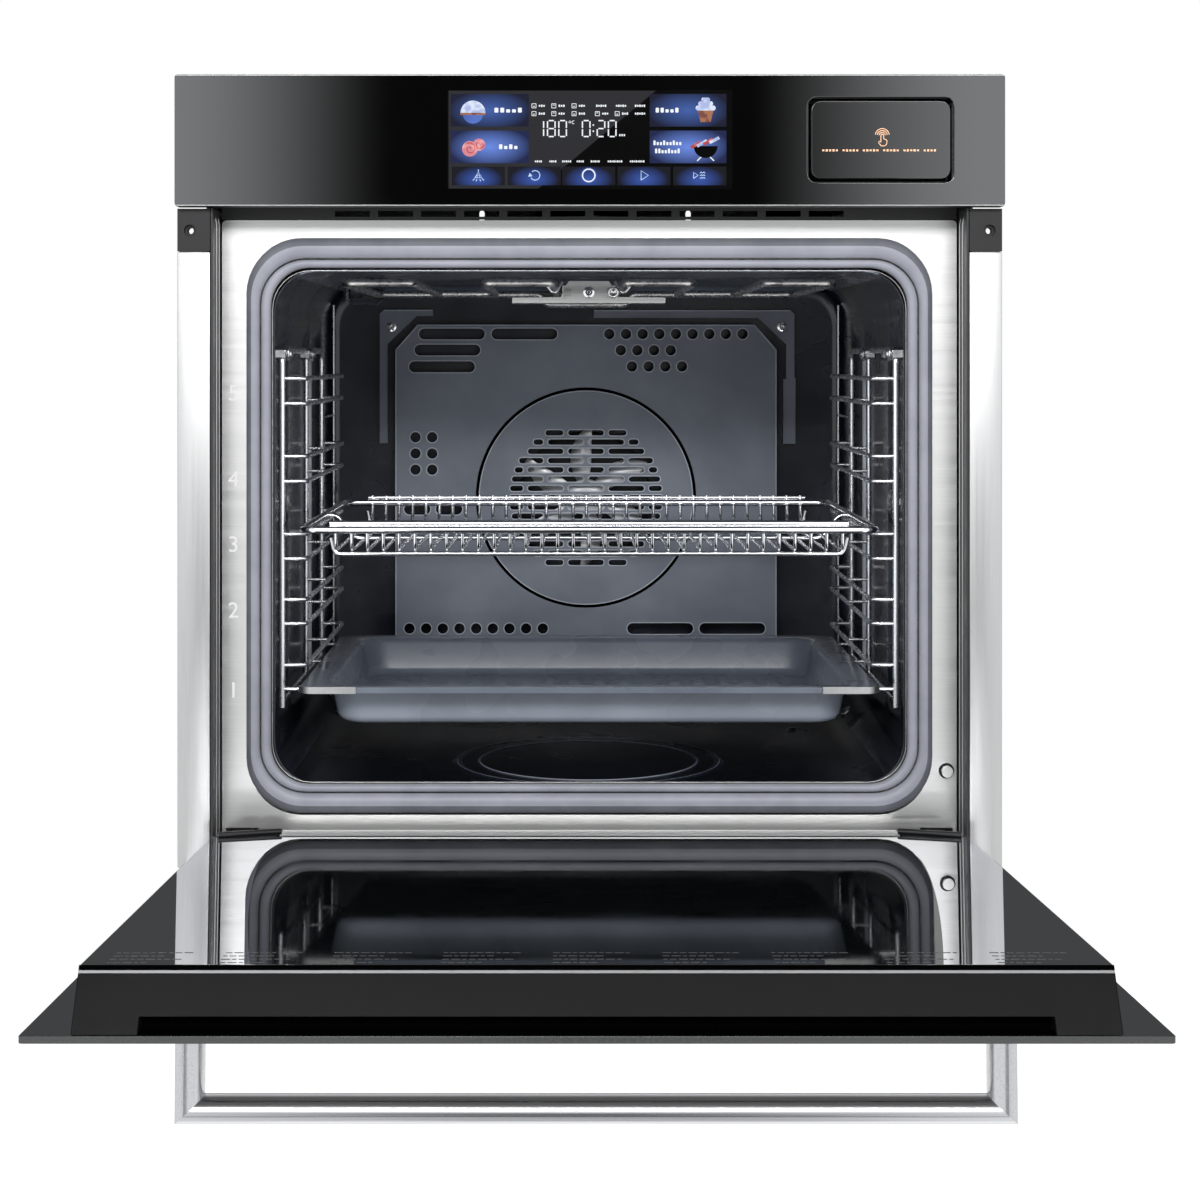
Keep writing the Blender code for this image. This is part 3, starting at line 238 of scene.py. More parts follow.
def make_materials():
    made = {
        "casing": galvanised("galvanised_sheet", (0.50, 0.51, 0.52), (0.68, 0.69, 0.70)),
        "front_steel": brushed(
            "brushed_front_steel", (0.69, 0.69, 0.68), (0.80, 0.80, 0.79), 0, (0.36, 0.46), 2600.0, 0.000012
        ),
        "trim_steel": brushed(
            "satin_trim_steel", (0.48, 0.48, 0.48), (0.55, 0.55, 0.55), 2, (0.38, 0.46), 2000.0
        ),
        "handle_steel": brushed(
            "brushed_handle_steel", (0.58, 0.58, 0.59), (0.72, 0.72, 0.73), 0, (0.16, 0.24)
        ),
        # The handle's legs: grain along the leg, and darker than the bar as painted shade.
        "post_painted_shade_steel": brushed("brushed_post_painted_shade_steel", (0.48, 0.48, 0.49), (0.60, 0.60, 0.61), 1, (0.16, 0.24)),
        "bracket": brushed(
            "plain_sheet_steel", (0.52, 0.52, 0.52), (0.72, 0.72, 0.71), 0, (0.20, 0.40), 500.0
        ),
        "motor": brushed("turned_steel", (0.50, 0.50, 0.50), (0.64, 0.64, 0.64), 1, (0.25, 0.40)),
        "fan": material("fan_blade_sheet", (0.90, 0.91, 0.93), 0.38, 0.25),
        "enamel": enamel("cavity_enamel", (0.007, 0.010, 0.018), (0.014, 0.019, 0.032), (0.20, 0.30)),
        # A darker copy of the cavity enamel for the floor: painted shade.
        "floor_painted_shade_enamel": enamel(
            "cavity_floor_painted_shade_enamel", (0.003, 0.004, 0.006), (0.006, 0.008, 0.011), (0.26, 0.34),
            (0.03, 0.035, 0.045)
        ),
        "rear_enamel": enamel(
            "fan_cover_enamel", (0.195, 0.220, 0.268), (0.265, 0.295, 0.352), (0.30, 0.38), (0.31, 0.33, 0.39)
        ),
        "tray_enamel": enamel(
            "tray_enamel", (0.125, 0.145, 0.185), (0.165, 0.19, 0.235), (0.24, 0.34), (0.22, 0.24, 0.29)
        ),
        # A lighter copy of the tray's enamel for its front wall: painted light.
        "tray_front": enamel(
            "tray_front_painted_light_enamel", (0.28, 0.31, 0.37), (0.35, 0.39, 0.46), (0.24, 0.34), (0.42, 0.45, 0.52)
        ),
        # A lighter copy of the cavity enamel for the roof: painted light and reflection.
        "ceiling_painted_light_enamel": enamel(
            "cavity_ceiling_painted_light_enamel", (0.17, 0.19, 0.24), (0.24, 0.27, 0.33), (0.24, 0.32), (0.30, 0.33, 0.40)
        ),
        # Light enamel laid on rims, edges, ribs and beads as painted highlights.
        "highlight_enamel": enamel(
            "painted_highlight_enamel", (0.55, 0.59, 0.66), (0.68, 0.72, 0.80), (0.30, 0.38), (0.72, 0.75, 0.82)
        ),
        "seal": material("grey_silicone_seal", (0.30, 0.31, 0.36), 0.42, 0.0, Sheen_Weight=0.25),
        # A darker copy of the seal's silicone for its outer flank: painted shade.
        "seal_shaded_flank": material("grey_silicone_painted_shade_flank", (0.13, 0.135, 0.16), 0.5, 0.0, Sheen_Weight=0.15),
        "panel": mirror_glass("fascia_black_glass", (0.002, 0.002, 0.002), (0.10, 0.45)),
        "door_glass": mirror_glass("door_black_glass", (0.003, 0.003, 0.003), (0.02, 0.96)),
        "window_glass": mirror_glass("window_coating", (0.002, 0.003, 0.003), (0.0, 0.02), 0.0, 0.05),
        "tank_glass": mirror_glass("tank_cover_glass", (0.002, 0.002, 0.002), (0.06, 0.28)),
        "glass_edge": material("ground_glass_edge", (0.045, 0.046, 0.046), 0.25),
        "clear_glass": material(
            "clear_glass", (0.90, 0.95, 0.93), 0.02, 0.0, Transmission_Weight=1.0, IOR=1.5
        ),
        "black_plastic": plastic("black_moulded_plastic", (0.012, 0.012, 0.013), 0.42),
        "cap_plastic": plastic("satin_black_cap", (0.0045, 0.0045, 0.0045), 0.36, 2400.0, 0.09),
        # A lighter metal strip on the cap's edge: a painted highlight.
        "cap_edge_highlight": material("satin_cap_edge_highlight", (0.20, 0.20, 0.205), 0.35, 1.0),
        # Black laid in slots, grooves and gaps as painted shade.
        "painted_shade": plastic("painted_shade_black", (0.001, 0.001, 0.001), 0.90, 1200.0, 0.0),
        "vent": plastic("vent_strip_black", (0.030, 0.030, 0.031), 0.45, 900.0),
        "dark_metal": plastic("black_coated_steel", (0.012, 0.012, 0.013), 0.38, 900.0),
        "heater": material("heater_sheath", (0.36, 0.35, 0.34), 0.35, 1.0),
        "element": material("grill_element_steel", (0.78, 0.77, 0.75), 0.24, 1.0),
        "chrome": material("chrome_plate", (0.82, 0.83, 0.85), 0.08, 1.0),
        "ladder_chrome": material("satin_chrome", (0.88, 0.89, 0.91), 0.28, 1.0),
        "board": plastic("circuit_board", (0.02, 0.14, 0.06), 0.45),
        "wool": material("mineral_wool", (0.72, 0.69, 0.58), 0.95, 0.0, Sheen_Weight=0.5),
        "hose": plastic("white_silicone", (0.80, 0.80, 0.78), 0.45),
        "tank": material(
            "clear_tank_plastic", (0.82, 0.88, 0.93), 0.12, 0.0, Transmission_Weight=0.85, IOR=1.49
        ),
        # The level numbers' white print glows: painted light.
        "white": glow("level_number_white_glow", (0.95, 0.95, 0.95), 0.85),
        # Copper print; its faint glow is painted light.
        "glowing_copper_print": material("glowing_copper_print", (0.72, 0.42, 0.26), 0.35, 0.6, Emission_Strength=0.25),
        "door_print": material("grey_print", (0.085, 0.085, 0.085), 0.5),
        "display_black": material("display_black", (0.003, 0.003, 0.003), 0.06),
        # A faint glow laid across part of the display: a painted reflection.
        "display_glare": glow("display_painted_glare", (0.018, 0.018, 0.019), 1.0),
        "tile_bright": glow("tile_blue", (0.09, 0.17, 0.55), 1.0, (0.025, 0.05, 0.24)),
        "digits": glow("digit_white", (0.92, 0.96, 1.0), 1.0),
        "icon_blue": glow("icon_pale_blue", (0.55, 0.72, 1.0), 1.0),
        "food_white": glow("food_cream", (0.72, 0.80, 0.95), 1.0, (0.42, 0.50, 0.80), 300.0),
        "food_brown": glow("food_brown", (0.40, 0.16, 0.08), 1.0, (0.20, 0.07, 0.05), 300.0),
        "food_red": glow("food_red", (0.75, 0.16, 0.14), 1.0, (0.45, 0.06, 0.06), 300.0),
        "food_pink": glow("food_pink", (0.85, 0.42, 0.42), 1.0, (0.70, 0.24, 0.28), 300.0),
    }
    for name, scale, detail, low, high in (
        ("fan", 90.0, 3.0, 0.30, 0.44), ("heater", 200.0, 2.0, 0.20, 0.42),
        ("element", 200.0, 2.0, 0.20, 0.42), ("chrome", 120.0, 3.0, 0.08, 0.15),
        ("ladder_chrome", 120.0, 3.0, 0.24, 0.32),
        ("glass_edge", 400.0, 2.0, 0.20, 0.34), ("cap_edge_highlight", 300.0, 2.0, 0.30, 0.40),
        ("clear_glass", 40.0, 2.0, 0.01, 0.05), ("tank", 90.0, 2.0, 0.08, 0.18),
        ("display_black", 30.0, 3.0, 0.04, 0.09),
    ):
        vary_roughness(made[name], noise(made[name], scale, detail), low, high)
    for name, scale, detail, dark, light in (
        ("heater", 60.0, 4.0, (0.24, 0.22, 0.20), (0.56, 0.54, 0.52)),
        ("element", 60.0, 4.0, (0.60, 0.58, 0.56), (0.86, 0.85, 0.83)),
        ("seal", 40.0, 2.0, (0.27, 0.28, 0.325), (0.32, 0.33, 0.38)),
        ("seal_shaded_flank", 40.0, 2.0, (0.11, 0.115, 0.14), (0.15, 0.155, 0.18)),
    ):
        vary_colour(made[name], noise(made[name], scale, detail), dark, light)
    for name in ("seal", "seal_shaded_flank"):
        bump(made[name], noise(made[name], 1500.0), 0.00003)
    shader(made["floor_painted_shade_enamel"]).inputs["Coat Weight"].default_value = 0.05
    shader(made["floor_painted_shade_enamel"]).inputs["Specular IOR Level"].default_value = 0.15
    bump(made["wool"], noise(made["wool"], (300, 300, 900), 6.0), 0.002)
    shader(made["glowing_copper_print"]).inputs["Emission Color"].default_value = (0.72, 0.42, 0.26, 1.0)
    return made


LOOK = make_materials()


# ---------------------------------------------------------------- geometry helpers
def piece(obj, body, look, replaces=()):
    """Gives an object its material and body, and hides the CAD nodes that it stands for."""
    obj.data.materials.clear()
    obj.data.materials.append(LOOK[look])
    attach(obj, body)
    if replaces:
        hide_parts(*replaces)
    return obj


def link(name, data):
    obj = bpy.data.objects.new(name, data)
    bpy.context.scene.collection.objects.link(obj)
    return obj


def mesh_of(name, vertices, faces, smooth=True):
    data = bpy.data.meshes.new(name)
    data.from_pydata([tuple(v) for v in vertices], [], faces)
    data.validate()
    work = bmesh.new()
    work.from_mesh(data)
    bmesh.ops.remove_doubles(work, verts=work.verts, dist=1e-7)
    bmesh.ops.recalc_face_normals(work, faces=work.faces)
    work.to_mesh(data)
    work.free()
    if smooth:
        data.shade_smooth()
    return link(name, data)


def flatten(obj):
    """The object's evaluated shape as a plain mesh object of the same name."""
    bpy.context.view_layer.update()
    graph = bpy.context.evaluated_depsgraph_get()
    data = bpy.data.meshes.new_from_object(obj.evaluated_get(graph), depsgraph=graph)
    data.transform(obj.matrix_world)
    name = obj.name
    bpy.data.objects.remove(obj)
    made = link(name, data)
    made.name = name
    return made


def soften(obj, width, segments=2):
    """Rounds the edges of a flat-faced mesh."""
    obj.data.shade_smooth()
    bevel = obj.modifiers.new("edges", "BEVEL")
    bevel.width = width
    bevel.segments = segments
    bevel.limit_method = "ANGLE"
    bevel.angle_limit = radians(35.0)
    bevel.harden_normals = True
    return obj


def thicken(obj, thickness=THIN_SHEET, offset=-1):
    """Gives a skin the thickness of a metal sheet."""
    made = obj.modifiers.new("sheet", "SOLIDIFY")
    made.thickness = thickness
    made.offset = offset


def block(name, low, high, width=0.0006):
    """A box with rounded edges between two corners."""
    low, high = Vector(low), Vector(high)
    corners = [
        (x, y, z) for x in (low.x, high.x) for y in (low.y, high.y) for z in (low.z, high.z)
    ]
    faces = [(0, 1, 3, 2), (4, 6, 7, 5), (0, 4, 5, 1), (2, 3, 7, 6), (0, 2, 6, 4), (1, 5, 7, 3)]
    return soften(mesh_of(name, corners, faces), width, 3)


def rounded_path(points, radius, steps=5):
    """The polyline with its corners turned into curves that start at the radius's distance."""
    points = [Vector(p) for p in points]
    path = [points[0]]
    for before, corner, after in zip(points, points[1:], points[2:]):
        reach = min(radius, (before - corner).length * 0.48, (after - corner).length * 0.48)
        start = corner + (before - corner).normalized() * reach
        end = corner + (after - corner).normalized() * reach
        for step in range(steps + 1):
            t = step / steps
            path.append(start * (1 - t) ** 2 + corner * (2 * t * (1 - t)) + end * t**2)
    return path + [points[-1]]


def wires(name, paths, body, look, replaces=()):
    """Round rods as one mesh. Each path is (points, radius) or (points, radius, closed)."""
    data = bpy.data.curves.new(name, "CURVE")
    data.dimensions = "3D"
    data.bevel_depth = 1.0
    data.bevel_resolution = 3
    data.use_fill_caps = True
    for points, radius, *closed in paths:
        spline = data.splines.new("POLY")
        spline.points.add(len(points) - 1)
        spline.use_cyclic_u = bool(closed and closed[0])
        spline.use_smooth = True
        for point, target in zip(spline.points, points):
            point.co = (*target, 1.0)
            point.radius = radius
    return piece(flatten(link(name, data)), body, look, replaces)


def outline_box(x, z, radius=0.0, steps=6):
    """A rectangle's outline in X and Z, with rounded corners."""
    (x0, x1), (z0, z1) = x, z
    if radius <= 0:
        return [(x0, z0), (x1, z0), (x1, z1), (x0, z1)]
    corners = ((x1, z0, -1, 1, -90), (x1, z1, -1, -1, 0), (x0, z1, 1, -1, 90), (x0, z0, 1, 1, 180))
    points = []
    for cx, cz, sx, sz, start in corners:
        for i in range(steps + 1):
            a = radians(start + 90 * i / steps)
            points.append((cx + sx * radius + radius * cos(a), cz + sz * radius + radius * sin(a)))
    return points


def outline_circle(x, z, radius, sides=32):
    turns = [2 * pi * i / sides for i in range(sides)]
    return [(x + radius * cos(a), z + radius * sin(a)) for a in turns]


def sheet(name, outlines, y, edge=0.0):
    """A flat plate between two depths; the outlines are in X and Z, later ones inside are holes."""
    data = bpy.data.curves.new(name, "CURVE")
    data.dimensions = "2D"
    data.fill_mode = "BOTH"
    data.extrude = abs(y[1] - y[0]) / 2 - edge
    data.bevel_depth = edge
    data.bevel_resolution = 1
    data.offset = -edge
    for outline in outlines:
        spline = data.splines.new("POLY")
        spline.points.add(len(outline) - 1)
        spline.use_cyclic_u = True
        for point, (x, z) in zip(spline.points, outline):
            point.co = (x, z, 0, 1)
    obj = link(name, data)
    obj.matrix_world = Matrix.Translation((0, (y[0] + y[1]) / 2, 0)) @ Matrix.Rotation(pi / 2, 4, "X")
    made = flatten(obj)
    work = bmesh.new()
    work.from_mesh(made.data)
    bmesh.ops.remove_doubles(work, verts=work.verts, dist=1e-6)
    work.to_mesh(made.data)
    work.free()
    made.data.shade_flat()
    return made


def loft(name, rings, closed=False, caps=(False, False), smooth=True):
    """A skin over rings of equally many points."""
    count = len(rings[0])
    vertices = [point for ring in rings for point in ring]
    faces = []
    spans = len(rings) if closed else len(rings) - 1
    for i in range(spans):
        a, b = i * count, ((i + 1) % len(rings)) * count
        faces += [(a + j, a + (j + 1) % count, b + (j + 1) % count, b + j) for j in range(count)]
    for wanted, start in zip(caps, (0, (len(rings) - 1) * count)):
        if wanted:
            faces.append(tuple(range(start, start + count)))
    return mesh_of(name, vertices, faces, smooth)


def turned(name, centre, axis, profile, sides=24):
    """A turned body; the profile is a list of (distance along the axis, radius)."""
    turn = Vector((0, 0, 1)).rotation_difference(Vector(axis)).to_matrix()
    rings = [[Vector(centre) + turn @ Vector((x, y, h)) for x, y in outline_circle(0, 0, r, sides)]
             for h, r in profile]
    return loft(name, rings, caps=(True, True))


def merge(name, parts):
    """Joins mesh objects into one, with their modifiers applied."""
    work = bmesh.new()
    for part in [flatten(p) for p in parts]:
        work.from_mesh(part.data)
        bpy.data.objects.remove(part)
    data = bpy.data.meshes.new(name)
    work.to_mesh(data)
    work.free()
    return link(name, data)


def dress(node, look, width=0.0):
    """Keeps a CAD node's shape, gives it a finished material and, if asked, rounded edges."""
    obj = frame["nodes"][node]
    obj.data.materials.clear()
    obj.data.materials.append(LOOK[look])
    if "custom_normal" in obj.data.attributes:
        obj.data.attributes.remove(obj.data.attributes["custom_normal"])
    weld = obj.modifiers.new("weld", "WELD")
    weld.merge_threshold = 0.00002
    if width:
        soften(obj, width)
    else:
        obj.data.shade_flat()


def hex_screw(name, centre, axis, size, look="bracket"):
    """A hexagon screw head on its washer, in the casing."""
    flange = turned(name, centre, axis, [(0, size), (size * 0.16, size), (size * 0.22, size * 0.92)], 28)
    profile = ((0.2, 0.66), (0.75, 0.66), (0.86, 0.52), (0.86, 0.34), (0.62, 0.26))
    head = turned(name + "_head", centre, axis, [(size * h, size * r) for h, r in profile], 6)
    head.data.shade_flat()
    return piece(merge(name, [flange, head]), "casing", look)


def at(depth):
    """World Y at a depth behind the front frame's face."""
    return FACE + depth


# ---------------------------------------------------------------- CAD nodes that keep their shape
def dress_nodes():
    looks = {
        "casing": (
            "base_plate", "side_panel_left", "side_panel_right", "top_cover", "rear_cover", "blower_housing",
        ),
        "front_steel": ("front_frame", "switch_plunger"),
        "trim_steel": ("side_trim_left", "side_trim_right"),
        "black_plastic": (
            "mounting_block_left", "mounting_block_right", "tank_sleeve", "water_pump", "door_switch",
            "terminal_block", "blower_impeller", "hinge_cover_left", "hinge_cover_right",
        ),
        "vent": ("vent_grille", "groove_seal_left", "groove_seal_right"),
        "dark_metal": ("fascia_housing", "hinge_arm_left", "hinge_arm_right"),
        "panel": ("fascia_glass",),
        "tank_glass": ("tank_cover",),
        "door_glass": ("door_outer_glass", "door_inner_glass"),
        "clear_glass": ("door_middle_glass", "oven_lamp"),
        "cap_plastic": ("door_top_cap",),
        "display_black": ("display_module",),
        "board": ("control_board",),
        "motor": ("steam_generator", "fan_motor", "blower_motor", "door_rail_left", "door_rail_right"),
        "hose": ("water_hose",),
        "wool": ("insulation",),
        "heater": ("ring_heater", "bottom_heater"),
        "tank": ("water_tank",),
    }
    edges = {
        "side_trim_left": 0.0003, "side_trim_right": 0.0003,
        "mounting_block_left": 0.0006, "mounting_block_right": 0.0006, "fascia_glass": 0.0005,
        "tank_cover": 0.0005, "door_outer_glass": 0.0006, "door_inner_glass": 0.0004, "door_top_cap": 0.0009,
        "hinge_cover_left": 0.0006, "hinge_cover_right": 0.0006,
        "hinge_arm_left": 0.0005, "hinge_arm_right": 0.0005, "top_cover": 0.0003, "vent_grille": 0.0002,
        "switch_plunger": 0.0008, "terminal_block": 0.0008,
        "groove_seal_left": 0.0002, "groove_seal_right": 0.0002,
    }
    for look, nodes in looks.items():
        for node in nodes:
            dress(node, look, edges.get(node, 0.0))


# ---------------------------------------------------------------- control panel
DISPLAY = Vector((-0.0001, 0.0, 0.5331))  # the display's centre on the fascia
PRINT_Y = (PANEL_FACE - 0.00012, PANEL_FACE - 0.00002)


def panel_art(name, shapes, look, lift=0.0):
    """Flat artwork lifted a little off the fascia, in millimetres from the display's centre."""
    outlines = [[(DISPLAY.x + x * MM, DISPLAY.z + z * MM) for x, z in shape] for shape in shapes]
    y = (PRINT_Y[0] - lift * MM, PRINT_Y[1] - lift * MM)
    return piece(sheet(name, outlines, y), "casing", look)


def art_box(x, z, width, height, radius=0.0):
    return outline_box((x - width / 2, x + width / 2), (z - height / 2, z + height / 2), radius, 4)


def art_ring(x, z, radius, width, sides=28):
    """A ring as its outer and inner outlines."""
    return [outline_circle(x, z, radius, sides), outline_circle(x, z, radius - width, sides)]


def art_stroke(points, width):
    """A line of even width through a few points, as one outline."""
    left, right = [], []
    for i, point in enumerate(points):
        before, after = points[max(i - 1, 0)], points[min(i + 1, len(points) - 1)]
        direction = Vector((after[0] - before[0], after[1] - before[1])).normalized()
        side = Vector((-direction.y, direction.x)) * (width / 2)
        left.append((point[0] + side.x, point[1] + side.y))
        right.append((point[0] - side.x, point[1] - side.y))
    return left + right[::-1]


def arc_points(x, z, radius, start, end, steps=12):
    turns = [radians(start + (end - start) * i / steps) for i in range(steps + 1)]
    return [(x + radius * cos(a), z + radius * sin(a)) for a in turns]


SEGMENTS = {  # which of the seven segments each digit lights: top, upper left, upper right, middle, ...
    "0": (1, 1, 1, 0, 1, 1, 1),
    "1": (0, 0, 1, 0, 0, 1, 0),
    "2": (1, 0, 1, 1, 1, 0, 1),
    "8": (1, 1, 1, 1, 1, 1, 1),
}


def digit(symbol, x, z, width, height):
    """One seven-segment digit in outline, with its lower left corner at x and z."""
    bar, gap = 0.9, 0.45
    half = height / 2

    def flat(level):
        return outline_box((x + gap * 2, x + width - gap * 2), (z + level - bar / 2, z + level + bar / 2))

    def tall(side, low):
        return outline_box((x + side - bar / 2, x + side + bar / 2), (z + low + gap, z + low + half - gap))

    shapes = (flat(height), tall(0, half), tall(width, half), flat(half), tall(0, 0), tall(width, 0), flat(0))
    return [shape for shape, lit in zip(shapes, SEGMENTS[symbol]) if lit]


def make_readout():
    shapes = []
    for symbol, x in (("1", -38.4), ("8", -30.2), ("0", -22.1), ("0", -5.2), ("2", 5.4), ("0", 13.4)):
        shapes += digit(symbol, x, 2.2, 5.4, 11.4)
    shapes += [art_box(2.6, level, 0.9, 1.1) for level in (6.0, 10.4)]
    shapes += art_ring(-14.2, 12.6, 0.9, 0.35, 12)
    shapes.append(art_stroke(arc_points(-11.6, 12.4, 1.1, 60, 300, 8), 0.4))
    shapes += [art_box(x, 3.2, 1.0, 1.4) for x in (21.6, 23.2, 24.8)]
    panel_art("display_readout", shapes, "digits", 0.1)

    marks = []
    for row, z in enumerate((24.2, 18.6)):
        for i, x in enumerate((-36.9, -22.7, -8.2, 8.5, 22.7, 36.3)):
            framed = i < 3 or (row == 1 and i < 5)
            if framed:
                marks += [art_box(x - 3.0, z, 3.4, 3.4, 0.4), art_box(x - 3.0, z, 2.6, 2.6, 0.2)]
                marks.append(art_box(x - 3.0, z + (0.5 if i % 2 else -0.4), 1.4, 0.5))
            start, pitch, count = (x + 1.0, 1.6, 3) if framed else (x - 3.4, 1.55, 5)
            for k in range(count):
                marks.append(art_box(start + pitch * k, z, 1.1, 1.2 + 0.4 * ((i + k + row) % 2)))
    pitch = 1.35
    for x, width in (
        (-36.8, 5.7), (-26.4, 5.9), (-16.5, 6.8), (-6.8, 6.6), (3.9, 7.0), (18.1, 11.0), (34.0, 12.0)
    ):
        count = int(width / pitch)
        for k in range(count):
            height = 1.1 + 0.35 * ((k + count) % 2)
            marks.append(art_box(x + (k - (count - 1) / 2) * pitch, -15.6, 0.95, height))
    panel_art("display_marks", marks, "digits", 0.1)


def make_key_strip():
    centres = (-79.7, -39.7, -0.7, 38.8, 78.8)
    dark, light = (0.001, 0.001, 0.004), (0.035, 0.09, 0.40)
    for i, x in enumerate(centres):
        look = panel_halo(f"key_glow_{i}", (x, -28.5), (20.0, 11.0), dark, light)
        panel_art(f"display_cell_{i}", [art_box(x, -26.0, 38.0, 13.4, 0.4)], look, 0.03)
    z, line = -25.6, 0.62
    bulb, again, play, steam = centres[0], centres[1], centres[3], centres[4]
    shade = [(bulb - 2.4, z - 1.6), (bulb, z + 2.2), (bulb + 2.4, z - 1.6), (bulb - 2.4, z - 1.6)]
    icons = [art_stroke(shade, line)]
    icons += art_ring(bulb, z - 0.6, 1.1, 0.4, 16)
    icons.append(art_stroke([(bulb, z + 2.6), (bulb, z + 4.2)], line))
    for sign in (-1, 1):
        icons.append(art_stroke([(bulb + sign * 2.6, z - 2.2), (bulb + sign * 3.9, z - 3.6)], line))
        icons.append(art_stroke([(bulb + sign * 1.0, z - 2.6), (bulb + sign * 1.6, z - 4.2)], line))
    icons.append(art_stroke(arc_points(again + 0.6, z, 3.4, -150, 130, 18), line))
    icons.append([(again - 4.4, z - 1.0), (again - 1.2, z - 0.6), (again - 3.2, z + 1.8)])
    for x, width, half in ((play - 2.0, 5.2, 3.4), (steam - 4.4, 3.2, 2.2)):
        icons.append(art_stroke([(x, z - half), (x, z + half), (x + width, z), (x, z - half)], line))
    for level in (-1.9, 0.0, 1.9):
        wave = [(steam + 0.2 + 0.9 * k, z + level + (0.45 if k % 2 else -0.25)) for k in range(5)]
        icons.append(art_stroke(wave, line))
    panel_art("display_key_icons", icons, "icon_blue", 0.12)
    panel_art("display_dial_glow", art_ring(centres[2], z, 5.6, 1.9, 40), "tile_bright", 0.08)
    panel_art("display_dial_ring", art_ring(centres[2], z, 4.9, 0.9, 40), "digits", 0.12)


def make_tiles():
    left, right = (-71.6, 56.0), (70.4, 55.0)
    upper, lower = 21.0, -5.2
    night = ((0.002, 0.004, 0.020), (0.050, 0.11, 0.38))
    blue = ((0.006, 0.012, 0.060), (0.14, 0.25, 0.75))
    for name, (x, width), z, (dark, light) in (
        ("upper_left", left, upper, night), ("lower_left", left, lower, blue),
        ("upper_right", right, upper, night), ("lower_right", right, lower, blue),
    ):
        look = panel_halo("glow_" + name, (x, z), (34.0, 16.5), dark, light)
        panel_art("tile_" + name, [art_box(x, z, width, 23.4, 0.3)], look, 0.03)

    words = []
    for x, z, count, pitch in (
        (-57.7, upper, 5, 4.2), (-57.7, lower, 4, 3.6), (56.0, upper, 5, 3.5), (56.0, lower + 2.8, 9, 2.3),
        (56.0, lower - 3.0, 8, 2.3),
    ):
        for k in range(count):
            tall = 3.4 if k == 0 or (k * 7 + count) % 3 == 0 else 2.3
            start = x + (k - count / 2) * pitch
            words.append(outline_box((start, start + pitch * 0.66), (z - 1.6, z - 1.6 + tall), 0.5, 3))
    panel_art("tile_marks", words, "digits", 0.1)

    dome = [(-92.7, upper - 2.0)] + arc_points(-83.6, upper - 2.0, 9.0, 180, 0, 14)
    panel_art("tile_bowl_food", [dome], "food_white", 0.10)
    panel_art("tile_bowl", [arc_points(-83.6, upper - 2.2, 7.4, 180, 360, 12)], "tile_bright", 0.08)
    panel_art("tile_bowl_rim", [art_box(-83.6, upper - 2.6, 18.0, 1.6, 0.7)], "food_brown", 0.12)

    panel_art("tile_roll_left", [outline_circle(-85.8, lower - 1.4, 5.6, 20)], "food_pink", 0.08)
    panel_art("tile_roll_right", [outline_circle(-79.2, lower + 1.6, 4.4, 18)], "food_pink", 0.10)
    swirls = []
    for x, z, count in ((-85.8, lower - 1.4, 13), (-79.2, lower + 1.6, 10)):
        radii = [0.6 + 0.34 * k for k in range(count)]
        spiral = [(x + radius * cos(k * 0.7), z + radius * sin(k * 0.7)) for k, radius in enumerate(radii)]
        swirls.append(art_stroke(spiral, 0.7))
    panel_art("tile_roll_swirls", swirls, "food_red", 0.14)

    cup = [(79.4, upper - 8.4), (86.6, upper - 8.4), (88.8, upper + 0.6), (77.2, upper + 0.6)]
    panel_art("tile_cup", [cup], "food_brown", 0.08)
    swirl = [art_box(83.0, upper + 1.6, 14.4, 3.6, 1.7), art_box(83.0, upper + 4.8, 10.6, 3.4, 1.6),
             art_box(83.0, upper + 7.6, 6.2, 3.0, 1.4)]
    for i, layer in enumerate(swirl):
        panel_art(f"tile_cream_{i}", [layer], "food_white", 0.10 + 0.02 * i)

    legs = []
    for sign in (1, -1):
        leg = [(83.0 - 6.0 * sign, lower - 10.0), (83.0 + 3.0 * sign, lower - 1.0)]
        legs.append(art_stroke(leg, 0.8))
    panel_art("tile_grill_legs", legs, "digits", 0.08)
    panel_art("tile_grill_pan", [arc_points(83.0, lower + 0.6, 8.6, 180, 360, 14)], "display_black", 0.10)
    for k in range(4):
        x = 72.5 + 4.4 * k
        skewer = art_stroke([(x, lower - 0.6 + 1.2 * k), (x + 7.0, lower + 3.6 + 1.0 * k)], 2.2)
        panel_art(f"tile_skewer_{k}", [skewer], "food_red" if k % 2 == 0 else "food_white", 0.12 + 0.02 * k)


def make_display():
    """The lit display, laid on the fascia's face: four tiles, a read-out and a strip of five keys."""
    panel_art("display_field", [art_box(0.0, 0.0, 204.0, 71.0, 0.6)], "display_black")
    # A glowing grey wedge across the display: a painted reflection of glare.
    sheen = [(-101.0, -35.0), (-36.8, -35.0), (47.3, 35.0), (-101.0, 35.0)]
    panel_art("display_painted_glare", [sheen], "display_glare", 0.015)
    make_tiles()
    make_readout()
    make_key_strip()


